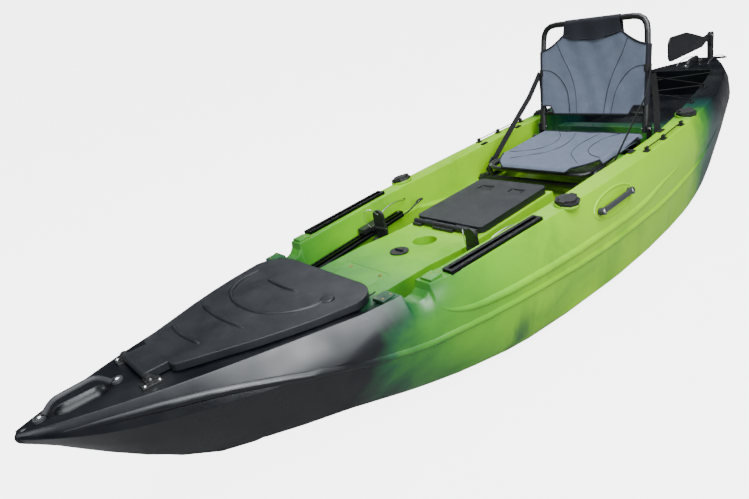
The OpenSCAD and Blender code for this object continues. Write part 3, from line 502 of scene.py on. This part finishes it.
FINISHES = {
    "hull_plastic": hull_plastic(),
    "lid_plastic": moulded(
        "lid_plastic", (0.0022, 0.0027, 0.0036), (0.0042, 0.0050, 0.0066), 0.42, 700.0, 0.0004, 0.004, 0.3,
    ),
    "black_plastic": moulded("black_plastic", (0.0028, 0.0028, 0.003), (0.0060, 0.0060, 0.0065), 0.38),
    "blade_plastic": moulded(
        "blade_plastic", (0.0030, 0.0033, 0.0040), (0.0060, 0.0065, 0.0078), 0.36, 400.0,
    ),
    "handle_rubber": moulded(
        "handle_rubber", (0.008, 0.0085, 0.0095), (0.017, 0.018, 0.020), 0.58, 1200.0, 0.0003,
    ),
    "rubber": moulded("rubber", (0.003, 0.003, 0.0033), (0.0065, 0.0065, 0.007), 0.62, 1500.0, 0.0002),
    "powder_coat": moulded(
        "powder_coat", (0.003, 0.003, 0.0033), (0.006, 0.006, 0.0065), 0.32, 2200.0, 0.00012,
    ),
    "steel": metal("steel", (0.40, 0.40, 0.40), 0.22),
    "brass": metal("brass", (0.45, 0.30, 0.11), 0.32),
    "anodised": metal("anodised", (0.014, 0.0145, 0.016), 0.34),
    "cable": metal("cable", (0.42, 0.42, 0.43), 0.34, 300.0),
    "seat_mesh": seat_mesh_fabric(),
    "band_fabric": cloth(
        "band_fabric", (0.0026, 0.0030, 0.0055), (0.0060, 0.0068, 0.0115), 2600.0, 2600.0, 0.0003,
    ),
    "webbing": cloth("webbing", (0.0028, 0.0028, 0.003), (0.0065, 0.0065, 0.007), 700.0, 2400.0, 0.0005),
    "bungee": cloth("bungee", (0.003, 0.003, 0.003), (0.008, 0.008, 0.0085), 1800.0, 1800.0, 0.0004),
}

for node in NODES.values():
    slot_name = node.data.materials[0].name.split(".")[0]
    node.data.materials[0] = FINISHES[slot_name]

# ---------------------------------------------------------------- camera, floor and light


def make_camera():
    camera = bpy.data.objects.new("camera", bpy.data.cameras.new("camera"))
    bpy.context.scene.collection.objects.link(camera)
    right = Vector((0.64420, 0.73245, -0.22030)).normalized()
    ahead = Vector((-0.74428, 0.53393, -0.40122)).normalized()
    up = right.cross(ahead)
    camera.matrix_world = Matrix((right, up, -ahead)).transposed().to_4x4()
    camera.location = (1.4792781, -1.82398494, 1.21619166)
    camera.data.sensor_fit = "HORIZONTAL"
    camera.data.sensor_width = 36
    camera.data.lens = 28.667
    camera.data.clip_end = 200
    bpy.context.scene.camera = camera


def make_floor():
    bpy.ops.mesh.primitive_plane_add(size=120, location=(0, 0, cad_box[0].z - 0.0005))
    floor = settle(bpy.context.object)
    floor.name = "floor"
    material, tree, shader = finish("floor", 0.75)
    shader.inputs["Base Color"].default_value = (0.15, 0.15, 0.15, 1)
    shader.inputs["Emission Color"].default_value = (1, 1, 1, 1)
    # the floor looks white to camera rays only, so it throws little light back into the black plastic
    path = place(tree, "LightPath")
    glow = place(tree, "Math", operation="MULTIPLY")
    glow.inputs[1].default_value = 5.0
    wire(tree, (path, "Is Camera Ray"), (glow, 0))
    wire(tree, (glow, 0), (shader, "Emission Strength"))
    floor.data.materials.append(material)
    bpy.ops.mesh.primitive_cylinder_add(vertices=64, radius=55, depth=40, end_fill_type="NOTHING")
    wall = settle(bpy.context.object)
    wall.name = "backdrop"
    wall.data.materials.append(material)


def make_light(name, place_at, aim, size, power):
    data = bpy.data.lights.new(name, "AREA")
    data.shape = "RECTANGLE"
    data.size, data.size_y = size
    data.energy = power
    data.color = (0.93, 0.965, 1.0)
    lamp = bpy.data.objects.new(name, data)
    bpy.context.scene.collection.objects.link(lamp)
    lamp.location = place_at
    lamp.rotation_euler = (Vector(aim) - Vector(place_at)).to_track_quat("-Z", "Y").to_euler()


make_camera()
make_floor()
make_light("ceiling", (0.8, -0.2, 5.6), (0, 0, 0.3), (5.5, 6.5), 1050)
make_light("side", (3.8, -1.4, 3.1), (0, -0.2, 0.3), (1.3, 6.0), 640)
make_light("bow", (0.6, -5.0, 2.6), (0, -1.2, 0.3), (3.0, 1.0), 110)
make_light("behind", (-3.2, 2.8, 3.4), (0, 0.4, 0.3), (3.5, 0.5), 55)
world = bpy.data.worlds.new("studio")
world.use_nodes = True
world.node_tree.nodes["Background"].inputs[0].default_value = (0.86, 0.93, 1, 1)
world.node_tree.nodes["Background"].inputs[1].default_value = 0.16
bpy.context.scene.world = world

# ---------------------------------------------------------------- hull


def hull_side(y, z, side):
    """The point of the hull's skin at that station and height, and the way out of the skin."""
    found, point, normal, _ = hull.ray_cast(Vector((side * 1.0, y, z)), Vector((-side, 0, 0)))
    return (point, normal) if found else (None, None)


def on_top(obj, x, y, top=0.6):
    """The highest point of a piece at that place."""
    found, point, normal, _ = obj.ray_cast(Vector((x, y, top)), Vector((0, 0, -1)))
    return point if found else None


def along(points, steps):
    """Points of a smooth line through a short list of (y, z) or (x, y) pairs."""
    rows = [Vector((*p, 0)) for p in points]
    rows = [2 * rows[0] - rows[1], *rows, 2 * rows[-1] - rows[-2]]
    line = []
    for i in range(1, len(rows) - 2):
        a, b, c, d = rows[i - 1 : i + 3]
        for k in range(steps):
            t = k / steps
            square = (2 * a - 5 * b + 4 * c - d) * t * t
            cube = (3 * b - a - 3 * c + d) * t**3
            line.append(0.5 * ((2 * b) + (c - a) * t + square + cube))
    return [*line, rows[-2]]


def ridge(points, radius, taper=6):
    """A raised line that fades away at both ends."""
    curve = bpy.data.curves.new("ridge", "CURVE")
    curve.dimensions = "3D"
    curve.bevel_depth = radius
    curve.bevel_resolution = 2
    spline = curve.splines.new("POLY")
    spline.points.add(len(points) - 1)
    for i, (row, point) in enumerate(zip(spline.points, points)):
        row.co = (*point, 1)
        row.radius = min(1, 0.15 + min(i, len(points) - 1 - i) / taper)
    obj = bpy.data.objects.new("ridge", curve)
    bpy.context.scene.collection.objects.link(obj)
    only(obj)
    bpy.ops.object.convert(target="MESH")
    return smooth(bpy.context.object, 60)


# (y, z) along each strake of the sides
UPPER_STRAKE = (
    (-0.888, 0.383), (-0.855, 0.352), (-0.785, 0.315), (-0.649, 0.291), (-0.471, 0.281), (-0.202, 0.270),
    (0.110, 0.262), (0.292, 0.283), (0.466, 0.303), (0.620, 0.335),
)
LOWER_STRAKE = (
    (-1.845, 0.452), (-1.790, 0.446), (-1.700, 0.436), (-1.600, 0.424), (-1.500, 0.408),
    (-1.423, 0.392), (-1.313, 0.362), (-1.193, 0.324), (-1.065, 0.284), (-0.916, 0.256),
    (-0.823, 0.250), (-0.653, 0.238), (-0.474, 0.228), (-0.118, 0.206), (0.167, 0.203), (0.296, 0.202),
    (0.472, 0.214), (0.697, 0.237), (0.952, 0.300), (1.150, 0.350),
)


def make_hull():
    piece = smooth(cad_copy("kayak_hull"), 28)
    return dress(piece, "hull", "hull_plastic", "root", ["kayak_hull"])


def make_bow_nose():
    """The round nose that closes the bow's tip."""
    bpy.ops.mesh.primitive_uv_sphere_add(segments=32, ring_count=20, radius=1)
    nose = bpy.context.object
    nose.matrix_world = Matrix.Translation((0, -1.862, 0.4555)) @ Matrix.Diagonal((0.0165, 0.021, 0.0185, 1))
    dress(smooth(settle(nose)), "bow_nose", "hull_plastic")


def make_handle_recess():
    """The raised oval rim round each side handle."""
    for side_name, side in SIDES.items():
        line = []
        for k in range(49):
            turn = math.radians(7.5 * k)
            point, normal = hull_side(-0.034 + 0.122 * math.cos(turn), 0.350 + 0.043 * math.sin(turn), side)
            if point is not None:
                line.append(point - normal * 0.003)
        dress(ridge(line, 0.0065, 0.5), f"handle_recess_{side_name}", "hull_plastic")


def make_strakes():
    for side_name, side in SIDES.items():
        for name, route, radius in (("upper", UPPER_STRAKE, 0.016), ("lower", LOWER_STRAKE, 0.014)):
            line = []
            for y, z, _ in along(route, 8):
                point, normal = hull_side(y, z, side)
                if point is not None:
                    line.append(point - normal * radius * 0.36)
            dress(ridge(line, radius, 30), f"strake_{name}_{side_name}", "hull_plastic")


# ---------------------------------------------------------------- bow hatch

# (x, y) along each raised line of the lid
LID_RIBS = {
    "front": ((-0.120, -1.432), (-0.030, -1.440), (0.072, -1.430)),
    "middle": ((-0.160, -1.318), (-0.030, -1.328), (0.108, -1.316)),
    "short": ((-0.120, -1.108), (-0.030, -1.112), (0.052, -1.106)),
    "long": (
        (-0.215, -1.072), (-0.205, -1.150), (-0.160, -1.215), (-0.085, -1.248), (0.000, -1.254),
        (0.075, -1.238), (0.138, -1.196), (0.170, -1.140), (0.176, -1.098),
    ),
}


def make_lid():
    lid = smooth(cad_copy("hatch_lid"), 32)
    dress(lid, "bow_lid", "lid_plastic", "bow_hatch", ["hatch_lid"])
    for name, route in LID_RIBS.items():
        line = [on_top(lid, x, y) for x, y, _ in along(route, 8)]
        line = [p - Vector((0, 0, 0.0022)) for p in line if p is not None]
        dress(ridge(line, 0.0072, 1.5), f"bow_lid_rib_{name}", "lid_plastic", "bow_hatch")
    button = on_top(lid, 0.176, -1.088)
    frame_here = local(button, (1, 0, 0), (0, -0.06, 1))
    boss = disc(frame_here, 0.021, 0.0095, 40, -0.005)
    only(boss)
    dress(smooth(bevel(boss, 0.0022)), "bow_lid_button", "lid_plastic", "bow_hatch")
    # a thin rope that stops the lid from falling right back
    lip = [Vector(p) for p in ((0.250, -1.030, 0.444), (0.258, -1.000, 0.440), (0.252, -0.976, 0.436))]
    dress(tube(lip, 0.002), "bow_lid_cord", "bungee", "bow_hatch")


# ---------------------------------------------------------------- seat

BACK_PIVOT = Vector((0, 0.576, 0.406))
BACK_LEAN = math.radians(9)
BACK_HALF = 0.250      # to the middle of a side tube
BACK_TOP = 0.455       # to the middle of the top tube
TUBE = 0.012


def back_point(x, y, z):
    """A point of the back frame's own axes, in the row frame: y is towards the stern, z up the tubes."""
    c, s = math.cos(BACK_LEAN), math.sin(BACK_LEAN)
    return BACK_PIVOT + Vector((x, y * c + z * s, z * c - y * s))


def sheet_grid(name, columns, rows, shape):
    """A grid whose points shape(u, v) gives, with its UV map in metres. u and v run from 0 to 1."""
    bpy.ops.mesh.primitive_grid_add(x_subdivisions=columns, y_subdivisions=rows, size=2)
    obj = bpy.context.object
    layer = obj.data.uv_layers.active or obj.data.uv_layers.new(name="cloth")
    flat = {}
    for vertex in obj.data.vertices:
        point, flat[vertex.index] = shape((vertex.co.x + 1) / 2, (vertex.co.y + 1) / 2)
        vertex.co = point
    for loop in obj.data.loops:
        layer.data[loop.index].uv = flat[loop.vertex_index]
    obj.name = name
    return obj


def solid(obj, thickness):
    modifier = obj.modifiers.new("cloth", "SOLIDIFY")
    modifier.thickness = thickness
    modifier.offset = 0
    return smooth(apply_modifiers(obj), 70)


def back_edges(x):
    """The lowest and highest point of the back's mesh at that distance from its middle."""
    x = abs(x)
    low = 0.061 if x < 0.182 else 0.098 if x > 0.204 else 0.061 + 0.037 * (x - 0.182) / 0.022
    if x < 0.138:
        return low, 0.383 + 0.022 * (x / 0.138) ** 2
    reach = min(1, (x - 0.138) / (BACK_HALF - 0.138))
    return low, 0.345 + 0.060 * (1 - reach) ** 1.6


def make_back_mesh():
    def shape(u, v):
        x = (2 * u - 1) * (BACK_HALF + 0.004)
        low, high = back_edges(x)
        z = low + (high - low) * v
        bow = 1 - (x / BACK_HALF) ** 2
        belly = math.sin(math.pi * min(1, max(0, (z - 0.04) / 0.40)))
        y = -TUBE - 0.0022 + 0.016 * bow * belly + 0.0012 * math.sin(x * 61 + z * 23) * bow
        y += 0.006 * max(0, (abs(x) - BACK_HALF + 0.010) / 0.014) ** 2
        return back_point(x, y, z), (x, z)

    mesh = solid(sheet_grid("seat_back_cloth", 96, 72, shape), 0.0014)
    dress(mesh, "seat_back_cloth", "seat_mesh", "seat_back", ["seat_back_mesh"])
    outline = []
    for k in range(-60, 61):
        x = k / 60 * BACK_HALF
        outline.append((x, back_edges(x)[1]))
    lower = [(x, back_edges(x)[0]) for x, _ in outline]

    def on_cloth(x, z, proud):
        bow = 1 - (x / BACK_HALF) ** 2
        belly = math.sin(math.pi * min(1, max(0, (z - 0.04) / 0.40)))
        return back_point(x, -TUBE - 0.0022 + 0.016 * bow * belly - proud, z)

    for name, line in (("top", outline), ("foot", lower)):
        edge = tube([on_cloth(x, z, 0.0005) for x, z in line], 0.0042, 12, smooth_line=False)
        dress(edge, f"seat_back_binding_{name}", "band_fabric", "seat_back")
    for side_name, side in SIDES.items():
        line = [back_point(side * BACK_HALF, 0, z) for z in (0.100, 0.180, 0.260, 0.343)]
        wrap = tube(line, TUBE + 0.0022, 20)
        dress(wrap, f"seat_back_side_{side_name}", "band_fabric", "seat_back")
    arcs = {
        "inner": ((0.166, 0.372), (0.140, 0.310), (0.104, 0.240), (0.078, 0.160), (0.066, 0.066)),
        "outer": ((0.240, 0.262), (0.200, 0.254), (0.156, 0.222), (0.118, 0.160), (0.100, 0.066)),
    }
    for side_name, side in SIDES.items():
        for name, route in arcs.items():
            line = [on_cloth(side * x, z, 0.0016) for x, z, _ in along(route, 10)]
            seam = tube(line, 0.0011, 8, smooth_line=False)
            dress(seam, f"seat_back_seam_{name}_{side_name}", "webbing", "seat_back")


def make_back_sleeve():
    def shape(u, v):
        turn = (v - 0.5) * 2
        half = 0.126 + 0.014 * abs(turn)
        x = (2 * u - 1) * half
        low = 0.377 + 0.022 * (x / 0.138) ** 2
        reach = BACK_TOP - low
        sag = 0.003 * math.sin(x * 55) * abs(turn)
        if abs(turn) < 0.3:
            angle = turn / 0.3 * math.pi / 2
            r = TUBE + 0.0022
            return back_point(x, r * math.sin(angle), BACK_TOP + r * math.cos(angle)), (x, v * 0.2)
        down = (abs(turn) - 0.3) / 0.7
        thick = (TUBE + 0.0022) * (1 - 0.45 * math.sin(math.pi * down * 0.5)) + sag
        front = -1 if turn < 0 else 1
        offset = 0.0 if front > 0 else -0.0045 * down
        return back_point(x, front * thick + offset, BACK_TOP - reach * down), (x, v * 0.2)

    sleeve = solid(sheet_grid("seat_back_sleeve", 36, 40, shape), 0.0016)
    dress(sleeve, "seat_back_sleeve", "band_fabric", "seat_back", ["seat_back_band"])


PAN_HALF = 0.2365
PAN_FRONT, PAN_BACK = 0.131, 0.558
PAN_TOP = 0.3835


def pan_height(x, y):
    """The height of the seat's cloth: it dips between its tubes."""
    across = 1 - (x / PAN_HALF) ** 2
    lengthwise = math.sin(math.pi * min(1, max(0, (y - PAN_FRONT) / (PAN_BACK - PAN_FRONT))))
    return PAN_TOP + 0.0055 - 0.013 * across * lengthwise


def pan_front_edge(x):
    x = abs(x)
    if x < 0.150:
        return PAN_FRONT - 0.0135
    reach = (x - 0.150) / (PAN_HALF - 0.150)
    return PAN_FRONT - 0.0135 + 0.120 * reach**1.7


def make_pan_mesh():
    def shape(u, v):
        x = (2 * u - 1) * (PAN_HALF + 0.011)
        front = pan_front_edge(min(abs(x), PAN_HALF))
        y = front + (PAN_BACK - front) * v
        z = pan_height(x, y)
        over = max(0, (PAN_FRONT + 0.004 - y) / 0.0175)
        z -= 0.017 * over**2
        z -= 0.016 * max(0, (abs(x) - PAN_HALF + 0.002) / 0.013) ** 2
        return Vector((x, y, z + 0.0008 * math.sin(x * 47 + y * 31))), (x, y)

    mesh = solid(sheet_grid("seat_pan_cloth", 90, 84, shape), 0.0014)
    dress(mesh, "seat_pan_cloth", "seat_mesh", "root", ["seat_pan_mesh"])
    edge = [(k / 60 * PAN_HALF, pan_front_edge(k / 60 * PAN_HALF)) for k in range(-60, 61)]
    line = []
    for x, y in edge:
        over = max(0, (PAN_FRONT + 0.004 - y) / 0.0175)
        line.append(Vector((x, y, pan_height(x, y) - 0.017 * over**2)))
    dress(tube(line, 0.0036, 12, smooth_line=False), "seat_pan_binding_front", "band_fabric")
    columns = [k / 10 * PAN_HALF for k in range(-10, 11)]
    rear = [Vector((x, PAN_BACK, pan_height(x, PAN_BACK))) for x in columns]
    dress(tube(rear, 0.0036, 12, smooth_line=False), "seat_pan_binding_rear", "band_fabric")
    arcs = {
        "inner": (
            (0.060, 0.550), (0.038, 0.470), (0.036, 0.390),
            (0.062, 0.310), (0.120, 0.240), (0.165, 0.190),
        ),
        "outer": (
            (0.150, 0.550), (0.112, 0.500), (0.096, 0.430),
            (0.112, 0.360), (0.160, 0.300), (0.222, 0.262),
        ),
    }
    for side_name, side in SIDES.items():
        for name, route in arcs.items():
            stitches = [Vector((side * x, y, pan_height(x, y) + 0.0014)) for x, y, _ in along(route, 10)]
            seam = tube(stitches, 0.0010, 8, smooth_line=False)
            dress(seam, f"seat_pan_seam_{name}_{side_name}", "webbing")


def ribbon(name, points, width, thickness, across):
    """A flat strap along a smooth line, with its UV map in metres."""
    across = Vector(across).normalized()
    length = sum((b - a).length for a, b in zip(points, points[1:]))
    last = len(points) - 1

    def shape(u, v):
        k = min(int(v * last), last - 1)
        share = v * last - k
        return points[k].lerp(points[k + 1], share) + across * (u - 0.5) * width, (u * width, v * length)

    obj = solid(sheet_grid(name, 4, last, shape), thickness)
    return obj


def make_straps():
    for side_name, side in SIDES.items():
        low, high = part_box(f"seat_strap_{side_name}")
        x_near = side * 0.281
        stops = [Vector(p) for p in (
            (side * 0.266, high.y - 0.006, high.z - 0.004),
            (x_near + side * 0.001, 0.530, 0.560),
            (x_near + side * 0.003, 0.420, 0.490),
            (x_near + side * 0.005, 0.300, 0.410),
            (x_near + side * 0.006, 0.215, 0.352),
            (x_near + side * 0.007, low.y + 0.004, low.z + 0.004),
        )]
        rows = [Vector((a.x, a.y, a.z)) for a in stops]
        line = []
        for a, b in zip(rows, rows[1:]):
            line += [a.lerp(b, k / 8) for k in range(8)]
        line.append(rows[-1])
        strap = ribbon("strap", line, 0.025, 0.0018, (side * 0.35, -0.55, 0.75))
        dress(strap, f"seat_strap_{side_name}_webbing", "webbing", None, [f"seat_strap_{side_name}"])
        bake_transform(strap)
        top = back_point(side * (BACK_HALF + 0.020), 0.004, 0.225)
        foot = Vector((side * 0.292, 0.585, 0.318))
        middle = top.lerp(foot, 0.5) + Vector((0, 0.034, 0))
        hang = [(top.lerp(middle, k / 12)).lerp(middle.lerp(foot, k / 12), k / 12) for k in range(13)]
        rear = ribbon("rear", hang, 0.025, 0.0018, (side * 0.9, 0.42, 0))
        dress(rear, f"seat_strap_rear_{side_name}", "webbing", None)
        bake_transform(rear)
        loop = tube([back_point(side * BACK_HALF, 0, z) for z in (0.236, 0.250, 0.264)], TUBE + 0.0045, 20)
        dress(loop, f"seat_strap_{side_name}_loop", "webbing", "seat_back")
        slope = (rows[3] - rows[4]).normalized()
        here = local(rows[4], (side * 0.35, -0.55, 0.75), slope.cross(Vector((side * 0.35, -0.55, 0.75))))
        bars = [block(here, (0.040, 0.005, 0.005), (0, y, 0.003)) for y in (-0.014, 0, 0.014)]
        bars += [block(here, (0.005, 0.033, 0.006), (x, 0, 0.003)) for x in (-0.0175, 0.0175)]
        buckle = smooth(bevel(join(bars), 0.0012))
        dress(buckle, f"seat_strap_{side_name}_buckle", "black_plastic")


# ---------------------------------------------------------------- foot steering

RAIL_TURN = 6.30887    # degrees that the foot rails turn outward towards the stern


def rail_point(side, x, y, z):
    """A point x inboard of a foot rail's middle, y towards the stern and z above the rail's foot."""
    turn = math.radians(RAIL_TURN)
    return Vector((
        side * (0.278594 - x * math.cos(turn) + y * math.sin(turn)),
        -0.646 + x * math.sin(turn) + y * math.cos(turn),
        0.3363 + z,
    ))


def make_foot_gear():
    for side_name, side in SIDES.items():
        rod = tube([rail_point(side, 0.027, y, 0.004) for y in (-0.268, -0.1, 0.1, 0.262)], 0.0072, 20)
        dress(rod, f"rail_rod_{side_name}", "anodised")
        handle = tube(
            [rail_point(side, 0.027, 0.262, 0.004), rail_point(side, 0.029, 0.30, 0.006),
             rail_point(side, 0.030, 0.345, 0.016), rail_point(side, 0.036, 0.372, 0.022),
             rail_point(side, 0.030, 0.392, 0.024), rail_point(side, 0.022, 0.374, 0.022),
             rail_point(side, 0.028, 0.348, 0.016)],
            0.0034, 12,
        )
        dress(handle, f"rail_release_{side_name}", "black_plastic")
        notches = []
        for k in range(22):
            here = local(rail_point(side, -0.006, -0.255 + 0.024 * k, 0.0137), (1, 0, 0), (0, 0, 1))
            notches.append(disc(here, 0.0036, 0.0012, 12))
        dress(smooth(join(notches)), f"rail_teeth_{side_name}", "rubber")
        low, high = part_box(f"toe_pedal_{side_name}")
        middle, y_face = (low.x + high.x) / 2 - side * 0.002, low.y - 0.010
        # a ribbed rubber grip across the bottom of the pedal
        rings = []
        for k in range(13):
            bend_back = 0.012 * math.sin(math.pi * k / 12)
            x = middle + (k - 6) * 0.0033
            bpy.ops.mesh.primitive_torus_add(
                major_radius=0.0135, minor_radius=0.0042, major_segments=24, minor_segments=8,
                location=(x, y_face - bend_back, low.z + 0.026), rotation=(0, math.pi / 2, 0),
            )
            rings.append(settle(bpy.context.object))
        bow = ((-0.0235, 0.002), (0, 0.012), (0.0235, 0.002))
        core = tube([Vector((middle + dx, y_face - dy, low.z + 0.026)) for dx, dy in bow], 0.0125, 16)
        dress(smooth(join([*rings, core])), f"pedal_grip_{side_name}", "rubber", f"pedal_{side_name}")
        wire_loop = tube(
            [Vector((middle - side * 0.012, y_face + 0.012, high.z - 0.012)),
             Vector((middle + side * 0.010, y_face - 0.020, high.z + 0.016)),
             Vector((middle + side * 0.022, y_face - 0.030, high.z - 0.020)),
             Vector((middle + side * 0.014, y_face - 0.014, high.z - 0.060))],
            0.0012, 8,
        )
        dress(wire_loop, f"pedal_wire_{side_name}", "cable", f"pedal_{side_name}")


# ---------------------------------------------------------------- fittings


def make_dots():
    """Brass insert dots on the blocks beside each side notch."""
    for side_name, side in SIDES.items():
        dots = []
        for y in (-0.992, -0.962, -0.822, -0.796):
            for x in (0.268, 0.300) if y < -0.9 else (0.300, 0.326):
                point = on_top(hull, side * x, y)
                if point is not None and point.z > 0.418:
                    dots.append(disc(local(point, (1, 0, 0), (0, 0, 1)), 0.0032, 0.0012, 16))
        dress(smooth(bevel(join(dots), 0.0004, 2)), f"insert_dots_{side_name}", "brass")


def make_flange_screws():
    """Four screw heads in the corners of each rod holder's flange."""
    lean = math.radians(8)
    for side_name, side in SIDES.items():
        heads = []
        for x, y, z in ((0.402, -0.249, 0.4299), (0.356, 0.716, 0.4280)):
            across_flange = (math.cos(lean), 0, -side * math.sin(lean))
            up_tube = (side * math.sin(lean), 0, math.cos(lean))
            matrix = local((side * x, y, z), across_flange, up_tube)
            for across in (-0.0245, 0.0245):
                for lengthwise in (-0.0245, 0.0245):
                    here = matrix @ Matrix.Translation((across, lengthwise, 0.0095))
                    heads.append(disc(here, 0.0042, 0.0026, 20))
        dress(smooth(bevel(join(heads), 0.0007, 2)), f"flange_screws_{side_name}", "black_plastic")


def make_cords():
    """The tank well's crossed elastic cord, and the two paddle keepers, in round braided cord."""
    for node, radius in (("tank_bungee", 0.0026), ("paddle_keepers", 0.0026)):
        dress(smooth(cad_copy(node), 60), f"{node}_cord", "bungee", "root", [node])


hull = make_hull()
make_bow_nose()
make_strakes()
make_handle_recess()
make_lid()
make_back_mesh()
make_back_sleeve()
make_pan_mesh()
make_straps()
make_foot_gear()
make_dots()
make_flange_screws()
make_cords()
